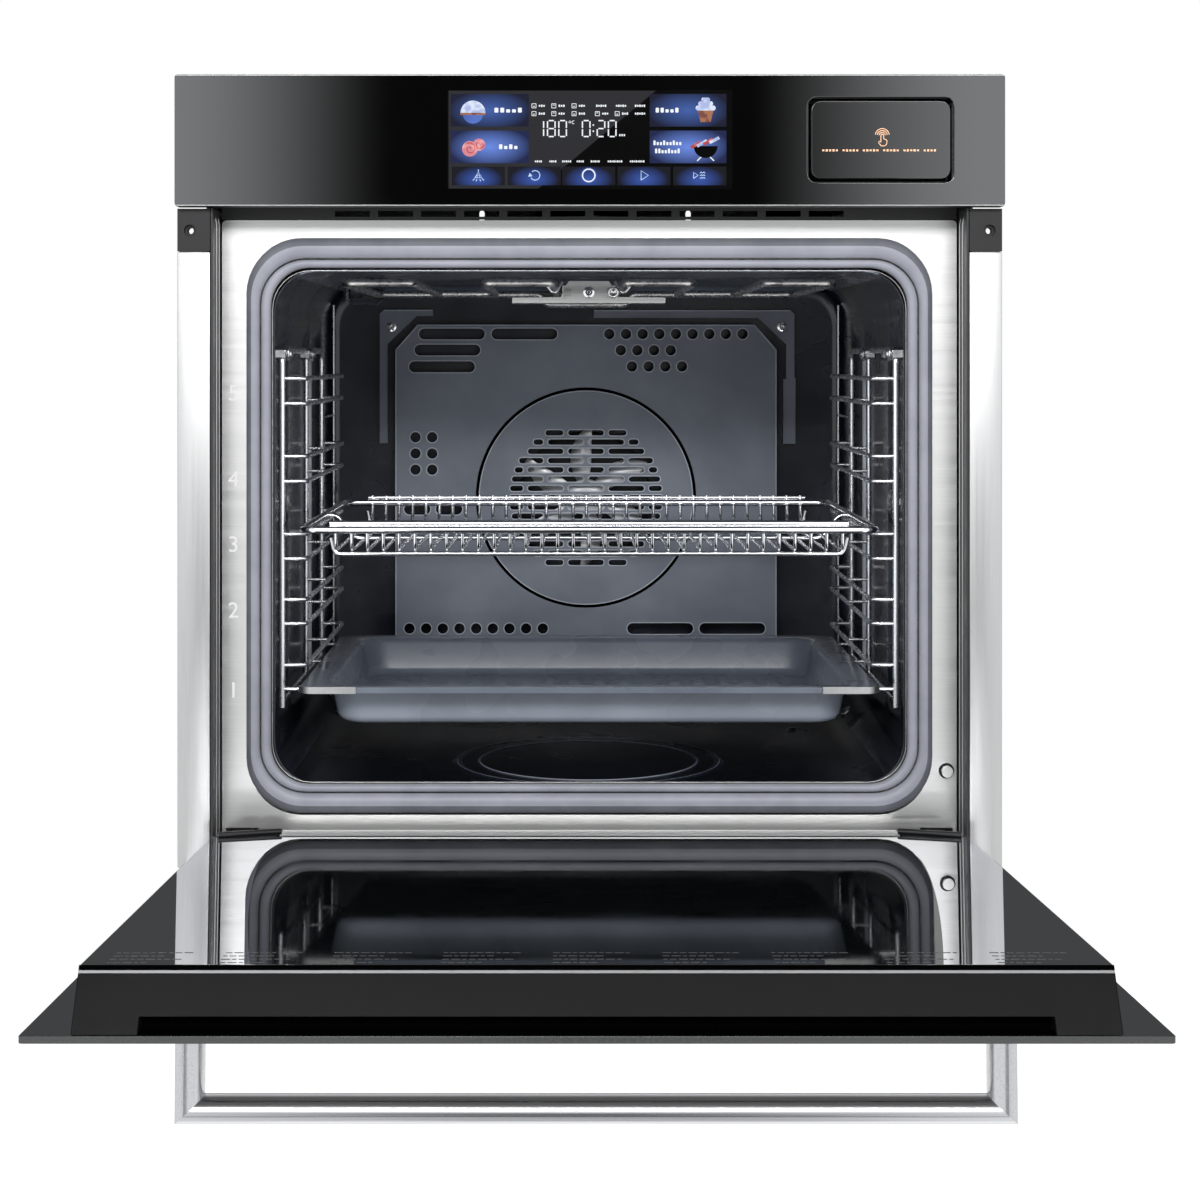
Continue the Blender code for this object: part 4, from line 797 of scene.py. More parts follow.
def make_tank_print():
    """The touch sign on the tank cover: a hand in copper print over a dashed line."""
    x, z = 0.2094, 0.5346

    def to_metres(shapes):
        return [[(x + px * MM, z + pz * MM) for px, pz in shape] for shape in shapes]

    line = 0.55
    shapes = [art_stroke(arc_points(0, 1.4, radius, 8, 172, 12), line) for radius in (2.2, 3.6, 5.0)]
    finger = [(-1.0, -3.2), (-1.0, 1.2)] + arc_points(0, 1.4, 1.0, 180, 0, 6) + [(1.0, -1.0)]
    shapes.append(art_stroke(finger, line))
    palm = [(1.0, -1.0), (2.6, -1.4), (3.4, -2.4), (3.0, -4.8), (1.8, -6.0), (-0.8, -6.0)]
    shapes.append(art_stroke(palm, line))
    shapes.append(art_stroke([(-1.0, -3.2), (-2.4, -2.6), (-2.6, -3.8), (-0.8, -6.0)], line))
    for k in range(34):
        if k % 6 != 5:
            shapes.append(art_box(-42.2 + 2.42 * k, -9.2, 1.5, 1.25 + 0.35 * (k % 2)))
    piece(sheet("tank_touch_print", to_metres(shapes), PRINT_Y), "tank", "glowing_copper_print")


def make_fascia_trim():
    """Thin bright lines along the fascia's top and bottom edges."""
    low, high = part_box("fascia_glass")
    for name, z in (("top", high.z - 0.0010), ("bottom", low.z + 0.0004)):
        near, far = (low.x + 0.0006, low.y - 0.0004, z), (high.x - 0.0006, low.y + 0.002, z + 0.0005)
        bar = block("fascia_trim_" + name, near, far, 0.00012)
        piece(bar, "casing", "trim_steel")


# ---------------------------------------------------------------- front frame, seal and cavity
LEVEL_HEIGHTS = (0.1321, 0.1908, 0.2393, 0.2871, 0.3503)


def make_level_numbers():
    for level, z in enumerate(LEVEL_HEIGHTS, start=1):
        data = bpy.data.curves.new(f"level_{level}", "FONT")
        data.body = str(level)
        data.size = 0.0165
        data.align_x = data.align_y = "CENTER"
        data.extrude = 0.00006
        obj = link(f"level_number_{level}", data)
        obj.matrix_world = Matrix.Translation((-0.2616, FACE - 0.0001, z)) @ Matrix.Rotation(pi / 2, 4, "X")
        # The numbers' glow is painted light.
        piece(flatten(obj), "casing", "white")


def between(outer, inner, t, y):
    return [(a[0] * (1 - t) + b[0] * t, y, a[1] * (1 - t) + b[1] * t) for a, b in zip(outer, inner)]


def make_seal():
    """The silicone seal: a broad band whose outer flank is darker as painted shade, and a narrow lip inside
    it.
    """
    outer = outline_box((-0.2520, 0.2520), (0.0425, 0.4648), 0.041, 10)
    inner = outline_box((-0.2424, 0.2424), (0.0567, 0.4501), 0.034, 10)
    crest = (0.40, -0.0040)
    flank = ((0.0, 0.0026), (0.0, -0.0006), (0.03, -0.0016), (0.12, -0.0026), (0.25, -0.0034), crest)
    crown = (crest, (0.56, -0.0043), (0.78, -0.0037), (0.93, -0.0022), (1.0, -0.0006), (1.0, 0.0026))
    lip_outer = outline_box((-0.2412, 0.2412), (0.0579, 0.4489), 0.0325, 10)
    lip_inner = outline_box((-0.2343, 0.2343), (0.0632, 0.4432), 0.0285, 10)
    lip_profile = (
        (0.0, 0.0030), (0.0, 0.0002), (0.08, -0.0010), (0.30, -0.0019), (0.62, -0.0020), (0.88, -0.0010),
        (1.0, 0.0006), (1.0, 0.0050),
    )
    lip = loft("seal_lip", [between(lip_outer, lip_inner, t, at(y)) for t, y in lip_profile], closed=True)
    band = loft("seal_band", [between(outer, inner, t, at(y)) for t, y in crown])
    piece(merge("door_seal_bands", [band, lip]), "casing", "seal", ["door_seal"])
    # The outer flank takes the darker silicone as painted shade.
    side = loft("door_seal_shaded_flank", [between(outer, inner, t, at(y)) for t, y in flank])
    piece(side, "casing", "seal_shaded_flank")


def make_groove_ribs():
    """Two thin light ribs down each black strip between the frame and a side trim: painted highlights of the
    strip's lips.
    """
    low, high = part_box("groove_seal_left")
    paths = []
    for sign in (-1, 1):
        for depth in (-0.0066, -0.0190):
            x = sign * 0.27115
            end = [(x, at(depth), high.z - 0.0100), (x + sign * 0.0012, at(depth - 0.0010), high.z - 0.0030)]
            paths.append(([(x, at(depth), low.z + 0.0010)] + end, 0.0006))
    wires("groove_rib_highlights", paths, "casing", "trim_steel")


def smooth_step(value, low, high):
    t = min(1.0, max(0.0, (value - low) / (high - low)))
    return t * t * (3 - 2 * t)


def plateau(value, low, high, ramp):
    """1 between low and high, falling to 0 over the ramp's width outside."""
    return smooth_step(value, low - ramp, low) * (1 - smooth_step(value, high, high + ramp))


CAVITY_X, CAVITY_Z, CAVITY_CORNER = 0.2352, (0.0603, 0.4437), 0.0315


def cavity_outline(radius):
    """The muffle's section with points close enough together for its pressed relief."""
    corners = outline_box((-CAVITY_X, CAVITY_X), CAVITY_Z, radius, 8)
    points = []
    for i, a in enumerate(corners):
        b = corners[(i + 1) % len(corners)]
        steps = max(1, round(((a[0] - b[0]) ** 2 + (a[1] - b[1]) ** 2) ** 0.5 / 0.006))
        points += [(a[0] + (b[0] - a[0]) * k / steps, a[1] + (b[1] - a[1]) * k / steps) for k in range(steps)]
    return points


def side_relief(depth, z):
    """How far the side wall is pressed outwards: a pocket behind the ladder, with upright ribs in it."""
    pocket = plateau(depth, 0.045, 0.318, 0.010) * plateau(z, 0.116, 0.392, 0.012)
    ribs = max(plateau(depth, middle - 0.006, middle + 0.006, 0.005) for middle in (0.110, 0.248))
    return 0.0038 * pocket - 0.0030 * ribs * pocket


def roof_relief(x, depth):
    return 0.0030 * plateau(depth, 0.030, 0.345, 0.010) * plateau(abs(x), -0.2, 0.192, 0.010)


def make_cavity():
    """The enamelled muffle: rounded mouth, pressed side walls and roof, and rounded rear corners."""
    depths = [0.0045, 0.0065, 0.0120, 0.0180] + [0.024 + 0.006 * i for i in range(61)]
    rings = []
    for depth in depths:
        inset = 0.0027 * (1 - smooth_step(depth, 0.008, 0.022))
        ring = []
        for x, z in cavity_outline(CAVITY_CORNER):
            x, z = x * (1 - inset / CAVITY_X), z + (inset if z < 0.25 else -inset) * 0.9
            if abs(x) > CAVITY_X - 0.004:
                x += (1 if x > 0 else -1) * side_relief(depth, z)
            elif z > CAVITY_Z[1] - 0.004:
                z += roof_relief(x, depth)
            ring.append((x, at(depth), z))
        rings.append(ring)
    rear, curve, middle_z, half_z = 0.4022, 0.010, 0.252, 0.192
    for step in range(1, 7):
        a = radians(15 * step)
        inset, y = curve * (1 - cos(a)), at(rear - curve + curve * sin(a))
        rings.append([(x * (1 - inset / CAVITY_X), y, z + (middle_z - z) * inset / half_z)
                      for x, z in cavity_outline(CAVITY_CORNER)])
    liner = loft("cavity_muffle", rings, caps=(False, True))
    thicken(liner, offset=1 if liner.data.polygons[0].normal.dot(Vector((0, 0, 1))) > 0 else -1)
    piece(liner, "casing", "enamel", ["cavity_liner"])
    # The floor's faces take a darker copy of the enamel as painted shade, and the roof's faces a lighter copy
    # as painted light.
    liner.data.materials.append(LOOK["floor_painted_shade_enamel"])
    liner.data.materials.append(LOOK["ceiling_painted_light_enamel"])
    for face in liner.data.polygons:
        floor_face, roof_face = face.center.z < CAVITY_Z[0] + 0.004, face.center.z > CAVITY_Z[1] - 0.004
        face.material_index = 1 if floor_face else 2 if roof_face else 0
    # A thin bright wire round the muffle's mouth: a painted highlight of its rounded edge.
    mouth = [(x, at(0.0046), z) for x, z in outline_box((-0.2335, 0.2335), (0.0640, 0.4412), 0.0285, 8)]
    wires("muffle_edge_highlight", [(mouth, 0.0004, True)], "casing", "bracket")
    # A rounded rib in light enamel on each side wall: its light colour is a painted highlight.
    for side, sign in LEFT_RIGHT:
        rib = [(sign * 0.2372, at(0.247), 0.100), (sign * 0.2372, at(0.247), 0.386)]
        wires("wall_highlight_rib_" + side, [(rib, 0.0040)], "casing", "highlight_enamel")

    floor = CAVITY_Z[0]
    profile = [
        (-0.0002, 0.1075), (0.0010, 0.1062), (0.0016, 0.1040), (0.0015, 0.1010), (0.0007, 0.0985),
        (0.0004, 0.0890), (0.0010, 0.0862), (0.0011, 0.0842), (0.0003, 0.0815), (0.0002, 0.0500),
        (0.0002, 0.0010),
    ]
    dish = turned("floor_dish", (0, at(0.111), floor), (0, 0, 1), profile, 72)
    piece(dish, "casing", "enamel")
    # Light rings on the dish's two ridges: painted highlights.
    rings = []
    for radius in (0.1028, 0.0853):
        circle = [(x, y, floor + 0.0013) for x, y in outline_circle(0, at(0.111), radius, 72)]
        rings.append((circle, 0.0004, True))
    wires("floor_dish_ridge_highlights", rings, "casing", "rear_enamel")
    nozzle = [(-0.001, 0.0056), (0.0012, 0.0056), (0.0022, 0.0048), (0.0022, 0.0034), (0.0006, 0.0028)]
    floor_nozzle = turned("steam_nozzle_floor", (0.1735, at(0.243), floor), (0, -0.4, 1), nozzle)
    piece(floor_nozzle, "casing", "bracket")
    corner = (0.2215, at(0.262), 0.0745)
    piece(turned("steam_nozzle_corner", corner, (-1, 0, 1), nozzle), "casing", "bracket")


def make_rear_plate():
    """The plate that carries the fan cover, seen as narrow tabs round its upper corners."""
    depth = (at(0.3958), at(0.3972))
    outline = [(-0.1887, 0.2990), (-0.1813, 0.2990), (-0.1813, 0.3895), (-0.1545, 0.4154), (-0.1397, 0.4154),
               (-0.1397, 0.4210), (-0.1850, 0.4210), (-0.1887, 0.4175)]
    left = sheet("plate_left", [outline], depth, 0.0004)
    outline = [(0.1833, 0.3578), (0.1803, 0.3578), (0.1803, 0.2985), (0.1918, 0.2985), (0.1918, 0.3587),
               (0.1909, 0.3587), (0.1909, 0.4170), (0.1870, 0.4208), (0.0072, 0.4208), (0.0072, 0.4135),
               (0.1574, 0.4135), (0.1833, 0.3890)]
    right = sheet("plate_right", [outline], depth, 0.0004)
    piece(merge("rear_plate", [left, right]), "casing", "rear_enamel")
    # Light beads along the tabs' top edges: painted highlights.
    beads = [([(-0.1845, at(0.3957), 0.4206), (-0.1401, at(0.3957), 0.4206)], 0.0006),
             ([(0.0076, at(0.3957), 0.4203), (0.1866, at(0.3957), 0.4203)], 0.0006)]
    wires("rear_plate_highlight_beads", beads, "casing", "highlight_enamel")
    for name, x in (("left", -0.1776), ("right", 0.1794)):
        hex_screw("plate_screw_" + name, (x, at(0.3957), 0.4052), (0, -1, 0), 0.0046, look="chrome")


FAN_Z = 0.250
COVER_HALF, COVER_Z, COVER_CHAMFER = 0.1735, (0.1224, 0.4074), (0.020, 0.0227)
COVER_FRONT = 0.3846
# The width of the painted highlight round each hole of the fan cover.
RIM = 0.0008  # the light edge round each hole of the fan cover
GROOVE_OUTER, GROOVE_INNER = 0.1002, 0.0974
SLOT_HEIGHT, HOLE_RADIUS = 0.0100, 0.0048


def stadium(x, z, length, height):
    return outline_box((x, x + length), (z - height / 2, z + height / 2), height / 2 - 0.0001, 5)


def make_fan_cover():
    """The pan over the fan: air slots and holes, and a raised disc with the grille behind a round groove; the
    groove is lined in painted shade black, and the light rims and edge are painted highlights.
    """
    def outline(inset):
        x, (low, high) = COVER_HALF - inset, COVER_Z
        dx, dz = COVER_CHAMFER
        low, high = low + inset, high - inset
        return [(-x, low), (x, low), (x, high - dz), (x - dx, high), (-x + dx, high), (-x, high - dz)]

    front, sheet_y = at(COVER_FRONT), (at(COVER_FRONT), at(COVER_FRONT + 0.0009))
    outlines, rims = [outline(0), outline_circle(0, FAN_Z, GROOVE_OUTER, 96)], []
    for x, z, length in (
        (-0.1520, 0.3988, 0.060), (-0.0860, 0.3988, 0.060), (-0.1560, 0.3842, 0.060),
        (-0.1610, 0.3690, 0.060), (-0.1655, 0.2395, 0.024), (-0.1365, 0.2395, 0.024),
        (0.0375, 0.1310, 0.060), (0.1030, 0.1310, 0.060),
    ):
        outlines.append(stadium(x, z, length, SLOT_HEIGHT))
        rims += [stadium(x - RIM, z, length + 2 * RIM, SLOT_HEIGHT + 2 * RIM), outlines[-1]]
    pitch = 0.01515
    for x, z, count in (
        (0.0212, 0.3988, 9), (0.0316, 0.3840, 4), (0.0418, 0.3693, 4), (-0.1605, 0.1310, 9),
        (-0.1550, 0.3049, 2), (-0.1550, 0.2901, 2), (-0.1550, 0.2754, 2),
    ):
        for i in range(count):
            outlines.append(outline_circle(x + pitch * i, z, HOLE_RADIUS, 20))
            rims += [outline_circle(x + pitch * i, z, HOLE_RADIUS + RIM, 20), outlines[-1]]
    parts = [sheet("cover_front", outlines, sheet_y, 0.0003)]

    grille = [outline_circle(0, FAN_Z, GROOVE_INNER, 96)]
    rows, row_pitch, column_pitch, slot_length, slot_height = 15, 0.00842, 0.0367, 0.0323, 0.0050
    for row in range(rows):
        dz = (row - (rows - 1) / 2) * row_pitch
        reach = (0.0695**2 - dz**2) ** 0.5
        shift = 0.0 if row % 2 == 0 else 0.5
        for column in range(-3, 4):
            middle = (column + shift) * column_pitch
            low, high = max(middle - slot_length / 2, -reach), min(middle + slot_length / 2, reach)
            if high - low > 0.006:
                grille.append(stadium(low, FAN_Z - dz, high - low, slot_height))
                wide = stadium(low - RIM, FAN_Z - dz, high - low + 2 * RIM, slot_height + 2 * RIM)
                rims += [wide, grille[-1]]
    parts.append(sheet("cover_disc", grille, sheet_y, 0.0003))
    # The groove's black lining is painted shade.
    groove = [(0.0, GROOVE_OUTER), (0.0024, 0.0998), (0.0034, 0.0988), (0.0024, 0.0978), (0.0, GROOVE_INNER)]
    rings = [[(x, front + 0.0003 + h, z) for x, z in outline_circle(0, FAN_Z, r, 96)] for h, r in groove]
    piece(loft("cover_groove", rings), "casing", "painted_shade")
    # Light rings round the holes, the slots and the groove: painted highlights.
    rims += [outline_circle(0, FAN_Z, GROOVE_INNER, 96), outline_circle(0, FAN_Z, GROOVE_INNER - RIM, 96)]
    piece(sheet("cover_highlight_rims", rims, (front - 0.0003, front - 0.00005)), "casing", "highlight_enamel")
    # A light wire along the pan's edge: a painted highlight.
    chamfered = [(x, front - 0.0001, z) for x, z in outline(0.0006)]
    wires("cover_edge_highlight", [(chamfered, 0.0006, True)], "casing", "highlight_enamel")

    bends = [(0.0002, 0.0002), (0.0014, 0.0), (0.0165, 0.0), (0.0165, 0.0010), (0.0006, 0.0012)]
    skirt = [[(x, front + y, z) for x, z in outline(inset)] for y, inset in bends + bends[:1]]
    parts.append(loft("cover_skirt", skirt, smooth=False))
    piece(merge("fan_cover_pan", parts), "casing", "rear_enamel", ["fan_cover"])


def make_fan():
    """The convection fan: six broad bent blades in front of a dark disc, a hub and the nut on its shaft."""
    centre = Vector((0, at(0.3921), FAN_Z))
    disc = [(0.0, 0.006), (0.0004, 0.030), (0.0009, 0.0585), (0.0017, 0.0600), (0.0017, 0.0590),
            (0.0012, 0.03), (0.0008, 0.006)]
    back = turned("fan_back_disc", centre + Vector((0, 0.0070, 0)), (0, 1, 0), disc, 48)
    piece(back, "fan", "dark_metal")
    hub = [(-0.0004, 0.0070), (-0.0002, 0.0150), (0.0020, 0.0165), (0.0062, 0.0165), (0.0062, 0.006)]
    parts = [turned("fan_hub", centre, (0, 1, 0), hub, 40)]
    blades, steps = 6, 8
    for b in range(blades):
        vertices = []
        for i in range(steps + 1):
            t = i / steps
            r = 0.014 + 0.050 * t
            angle = radians(100 + 60 * b) - 0.22 * t * t
            half = 0.0096 * sin(pi * (0.14 + 0.80 * t)) ** 0.8
            along, across = Vector((cos(angle), 0, sin(angle))), Vector((-sin(angle), 0, cos(angle)))
            for u in (-1, 0, 1):
                tilt = Vector((0, 0.0030 + 0.0026 * u - 0.0008 * u * u, 0))
                vertices.append(centre + (along * r + across * (half * u) + tilt))
        corners = [3 * i + k for i in range(steps) for k in (0, 1)]
        faces = [(a, a + 1, a + 4, a + 3) for a in corners]
        blade = mesh_of(f"blade_{b}", vertices, faces)
        thicken(blade)
        parts.append(blade)
    profile = [(0.0, 0.0052), (0.0022, 0.0052), (0.0028, 0.0044), (0.0028, 0.002)]
    nut = turned("fan_nut", centre, (0, -1, 0), profile, 6)
    nut.data.shade_flat()
    parts.append(nut)
    piece(merge("convection_fan_wheel", parts), "fan", "fan", ["convection_fan"])


# ---------------------------------------------------------------- grill and ladders
GRILL_Z = 0.4335


def make_grill():
    front, rear = 0.047, 0.325
    legs = [0.0265 + 0.053 * i for i in range(4)]

    def half(sign):
        path = [(sign * legs[0], 0.400, GRILL_Z), (sign * legs[0], front, GRILL_Z)]
        for i in range(3):
            y = front if i % 2 == 0 else rear
            far = rear if i % 2 == 0 else front
            path.append((sign * legs[i + 1], y, GRILL_Z))
            if i < 2:
                path.append((sign * legs[i + 1], far, GRILL_Z))
        return path + [(sign * legs[3], 0.343, GRILL_Z)]

    dip = ((-0.040, 0.0), (-0.036, 0.009), (0.036, 0.009), (0.040, 0.0))
    bridge = [(x, 0.343, GRILL_Z - drop) for x, drop in dip]
    route = half(-1) + bridge + list(reversed(half(1)))
    points = rounded_path([(x, at(y), z) for x, y, z in route], 0.010, 6)
    wires("grill_rod", [(points, 0.0030)], "casing", "element", ["grill_element"])

    front_y = at(0.0500)
    right = [(0.058, 0.4182), (0.058, 0.4228), (0.0210, 0.4232), (0.0190, 0.4300), (0.0150, 0.4352)]
    outline = [(-0.058, 0.4182)] + right + [(-x, z) for x, z in right[:0:-1]]
    plate = sheet("bracket_plate", [outline], (front_y, front_y + 0.0012), 0.0003)
    near, far = (-0.0578, front_y + 0.0006, 0.4180), (0.0578, front_y + 0.0130, 0.4192)
    lip = block("bracket_lip", near, far, 0.0003)
    ears = []
    for side, sign in LEFT_RIGHT:
        bend = ((0.0200, 0.004, 0.4345), (0.0260, -0.0006, 0.4250), (0.0340, 0.0005, 0.4345))
        loop = rounded_path([(sign * x, front_y + y, z) for x, y, z in bend], 0.004, 5)
        wires("grill_clip_" + side, [(loop, 0.0014)], "casing", "bracket")
        x = sign * 0.0165
        near, far = (x - 0.0035, front_y, 0.4215), (x + 0.0035, front_y + 0.0012, 0.4320)
        ears.append(block("bracket_ear", near, far, 0.0004))
    profile = [(0.0, 0.0042), (0.0010, 0.0042), (0.0013, 0.0036), (0.0010, 0.0026), (0.0001, 0.0024)]
    ring = turned("bracket_ring", (0.0185, front_y, 0.4265), (0, -1, 0), profile)
    bracket = merge("grill_bracket_plate", [plate, lip, ring] + ears)
    piece(bracket, "casing", "bracket", ["grill_bracket"])
    hex_screw("grill_screw", (0.0, front_y, 0.4265), (0, -1, 0), 0.0044, look="chrome")


LADDER_X, RUNG_X = 0.2305, 0.2120
LADDER_DEPTHS = (0.035, 0.186, 0.295)
LADDER_Z = (0.1185, 0.3730)
RUNGS = (0.3613, 0.3425, 0.3030, 0.2842, 0.2446, 0.2261, 0.1954, 0.1773, 0.1463, 0.1283)


def make_ladders():
    front, middle, rear = LADDER_DEPTHS
    low, high = LADDER_Z
    top = high + 0.010
    for side, sign in LEFT_RIGHT:
        wall, reach = sign * LADDER_X, sign * RUNG_X
        loop = [(wall, front, low - 0.004), (wall, front, top), (wall, rear, top), (wall, rear, low)]
        loop = [(x, at(y), z) for x, y, z in loop]
        paths = [(rounded_path(loop, 0.010, 6), 0.0027), ([loop[3], (wall, at(front), low)], 0.0019)]
        # A thin chrome rod with ties in each rear corner: a painted highlight of the muffle's corner.
        corner = sign * 0.2296
        paths.append(([(corner, at(0.386), 0.115), (corner, at(0.386), 0.425)], 0.0011))
        paths += [([(wall, at(rear), z), (corner, at(0.386), z)], 0.0009) for z in (0.1410, 0.2180, 0.3250)]
        paths.append(([(wall, at(middle), low), (wall, at(middle), top)], 0.0019))
        for z in RUNGS:
            rung = [(wall, front, z), (reach, front, z), (reach, rear, z), (wall, rear, z)]
            paths.append((rounded_path([(x, at(y), z) for x, y, z in rung], 0.007, 5), 0.0018))
            paths.append(([(wall, at(middle), z), (reach, at(middle), z)], 0.0013))
        wires("ladder_" + side, paths, "casing", "ladder_chrome", ["shelf_ladder_" + side])
        for row, depth in enumerate((front, middle)):
            foot = Vector((sign * 0.2358, at(depth), 0.3800))
            inward = (-sign, 0, 0)
            name = f"ladder_stud_{side}_{row}"
            shaft = turned(name + "_shaft", foot, inward, [(0.0, 0.0030), (0.0128, 0.0030)], 16)
            ring = [(0.0096, 0.0034), (0.0099, 0.0056), (0.0110, 0.0058), (0.0113, 0.0034)]
            collar = turned(name + "_collar", foot, inward, ring, 20)
            hexagon = [(0.0, 0.0044), (0.0008, 0.0054), (0.0077, 0.0054), (0.0085, 0.0044)]
            nut = turned(name + "_nut", foot + Vector(inward) * 0.0004, inward, hexagon, 6)
            nut.data.shade_flat()
            piece(merge(name, [shaft, collar, nut]), "casing", "ladder_chrome")


# ---------------------------------------------------------------- rack and tray
RACK_HALF, RACK_DEPTH, RACK_Z = 0.2130, (0.0105, 0.3180), 0.2497
RACK_RIM_Z, RACK_GRID_Z = 0.2542, 0.2340
RACK_BARS, RACK_PITCH = 33, 0.01175


def make_rack():
    """A chromed rack: a heavy frame, two rims on it, and bars that drop between them into a basket."""
    front, rear = RACK_DEPTH
    corners = outline_box((-RACK_HALF, RACK_HALF), (front, rear), 0.012, 7)
    paths = [([(x, at(y), RACK_Z) for x, y in corners], 0.0030, True)]
    reach = RACK_PITCH * (RACK_BARS - 1) / 2
    for y, radius in ((front + 0.002, 0.0024), (rear + 0.002, 0.0015)):
        bar = [(-reach - 0.004, at(y), RACK_RIM_Z), (reach + 0.004, at(y), RACK_RIM_Z)]
        paths.append((bar, radius))
    drop = RACK_GRID_Z - 0.0028
    for y in (front + 0.008, rear - 0.008):
        left = [(-reach - 0.004, drop + 0.012), (-reach - 0.001, drop)]
        cross = left + [(-x, z) for x, z in left[::-1]]
        paths.append((rounded_path([(x, at(y), z) for x, z in cross], 0.005), 0.0018))
    left = [(-RACK_HALF, RACK_Z), (-RACK_HALF + 0.010, RACK_Z), (-reach - 0.003, drop)]
    cross = left + [(-x, z) for x, z in left[::-1]]
    middle = at((front + rear) / 2)
    paths.append((rounded_path([(x, middle, z) for x, z in cross], 0.008), 0.0020))
    top = RACK_RIM_Z + 0.0012
    bar = ((front + 0.0015, top), (front + 0.0055, RACK_GRID_Z), (rear - 0.0035, RACK_GRID_Z),
           (rear + 0.0025, top))
    for i in range(RACK_BARS):
        x = -reach + RACK_PITCH * i
        paths.append((rounded_path([(x, at(y), z) for y, z in bar], 0.006, 5), 0.00145))
    wires("rack_wires", paths, "rack", "chrome", ["wire_rack"])


TRAY_HALF, TRAY_MIDDLE = (0.2155, 0.1555), 0.1635
TRAY_RIM_Z, TRAY_FLOOR_Z = 0.1332, 0.1030
TRAY_CORNER = 0.012


def tray_ring(inset, z, radius):
    x, y = TRAY_HALF[0] - inset, TRAY_HALF[1] - inset
    shape = outline_box((-x, x), (at(TRAY_MIDDLE) - y, at(TRAY_MIDDLE) + y), radius, 8)
    return [(px, py, z) for px, py in shape]


def make_tray():
    """An enamelled tray with a flat rim, sloped walls and a floor pressed with low lozenges."""
    profile = (
        (0.0004, -0.0024, 0.0120), (0.0, -0.0014, 0.0120), (0.0004, -0.0003, 0.0120),
        (0.0016, 0.0, 0.0120), (0.0160, -0.0003, 0.0180), (0.0195, -0.0012, 0.0190),
        (0.0218, -0.0042, 0.0200), (0.0256, -0.0250, 0.0200), (0.0272, -0.0282, 0.0200),
        (0.0304, -0.0300, 0.0190), (0.0350, -0.0302, 0.0180),
    )
    rings = [tray_ring(inset, TRAY_RIM_Z + drop, radius) for inset, drop, radius in profile]
    pan = loft("tray_pan", rings, caps=(False, True))
    floor = min(pan.data.polygons, key=lambda face: face.center.z)
    thicken(pan, offset=-1 if floor.normal.z > 0 else 1)
    columns, rows = 150, 108
    half_x, half_y = TRAY_HALF[0] - 0.036, TRAY_HALF[1] - 0.036
    flat_x, flat_y = half_x - 0.012, half_y - 0.012
    vertices, faces = [], []
    for j in range(rows + 1):
        for i in range(columns + 1):
            x, y = half_x * (2 * i / columns - 1), half_y * (2 * j / rows - 1)
            edge = plateau(x, -flat_x, flat_x, 0.008) * plateau(y, -flat_y, flat_y, 0.008)
            lozenge = max(0.0, sin((x + 2 * y) * 150) * sin((x - 2 * y) * 150))
            vertices.append((x, at(TRAY_MIDDLE) + y, TRAY_FLOOR_Z + 0.0002 + 0.0010 * edge * lozenge))
    for j in range(rows):
        for i in range(columns):
            a = j * (columns + 1) + i
            faces.append((a, a + 1, a + columns + 2, a + columns + 1))
    relief = mesh_of("tray_relief", vertices, faces)
    if relief.data.polygons[0].normal.z < 0:
        relief.data.flip_normals()
    tray = merge("tray_enamelled", [pan, relief])
    piece(tray, "tray", "tray_enamel", ["baking_tray"])
    front_y = at(TRAY_MIDDLE) - TRAY_HALF[1]
    # The front wall's outer faces take the lighter enamel as painted light.
    tray.data.materials.append(LOOK["tray_front"])
    for face in tray.data.polygons:
        below = face.center.z < TRAY_RIM_Z - 0.0035
        face.material_index = 1 if below and face.center.y < front_y + 0.036 and face.normal.y < -0.3 else 0

    middle, reach = TRAY_HALF[0] - TRAY_CORNER, TRAY_CORNER + 0.0003
    for side, sign in LEFT_RIGHT:
        edge = [(sign * 0.1725, front_y - 0.0003), (sign * middle, front_y - 0.0003)]
        for k in range(1, 6):
            a = radians(15 * k)
            edge.append((sign * (middle + reach * sin(a)), front_y + TRAY_CORNER - reach * cos(a)))
        count = len(edge)
        vertices = [(x, y, TRAY_RIM_Z + dz) for dz in (-0.0046, 0.0006) for x, y in edge]
        faces = [(i, i + 1, count + i + 1, count + i) for i in range(count - 1)]
        strip = mesh_of("tray_trim_" + side, vertices, faces)
        thicken(strip, 0.0010, 0)
        soften(strip, 0.0002)
        piece(flatten(strip), "tray", "trim_steel")
    near = (-0.1722, front_y - 0.0002, TRAY_RIM_Z - 0.0044)
    far = (0.1722, front_y + 0.0010, TRAY_RIM_Z + 0.0002)
    piece(block("tray_front_lip", near, far, 0.0004), "tray", "tray_enamel")


# ---------------------------------------------------------------- door
HINGE = next(joint for joint in frame["joints"] if joint["child"] == "door")
DOOR_MATRIX = Matrix.Translation(HINGE["pos_m"]) @ Matrix.Rotation(radians(HINGE["range_deg"][1]), 4, "X")
DOOR_OUTER, DOOR_INNER = -0.018, 0.018  # the outer and inner glass faces, from the hinge pin, door closed
HANDLE_HALF, HANDLE_Z, HANDLE_REACH = 0.2236, 0.4158, 0.0519
HANDLE_HEIGHT = 0.0200
BAR_SHARE = 0.0129 / 0.0145  # the bar's thickness, as a share of the legs' width


def on_door(obj):
    """Takes a piece from the closed door, drawn round the hinge pin, to the open door."""
    obj.data.transform(DOOR_MATRIX)
    return obj


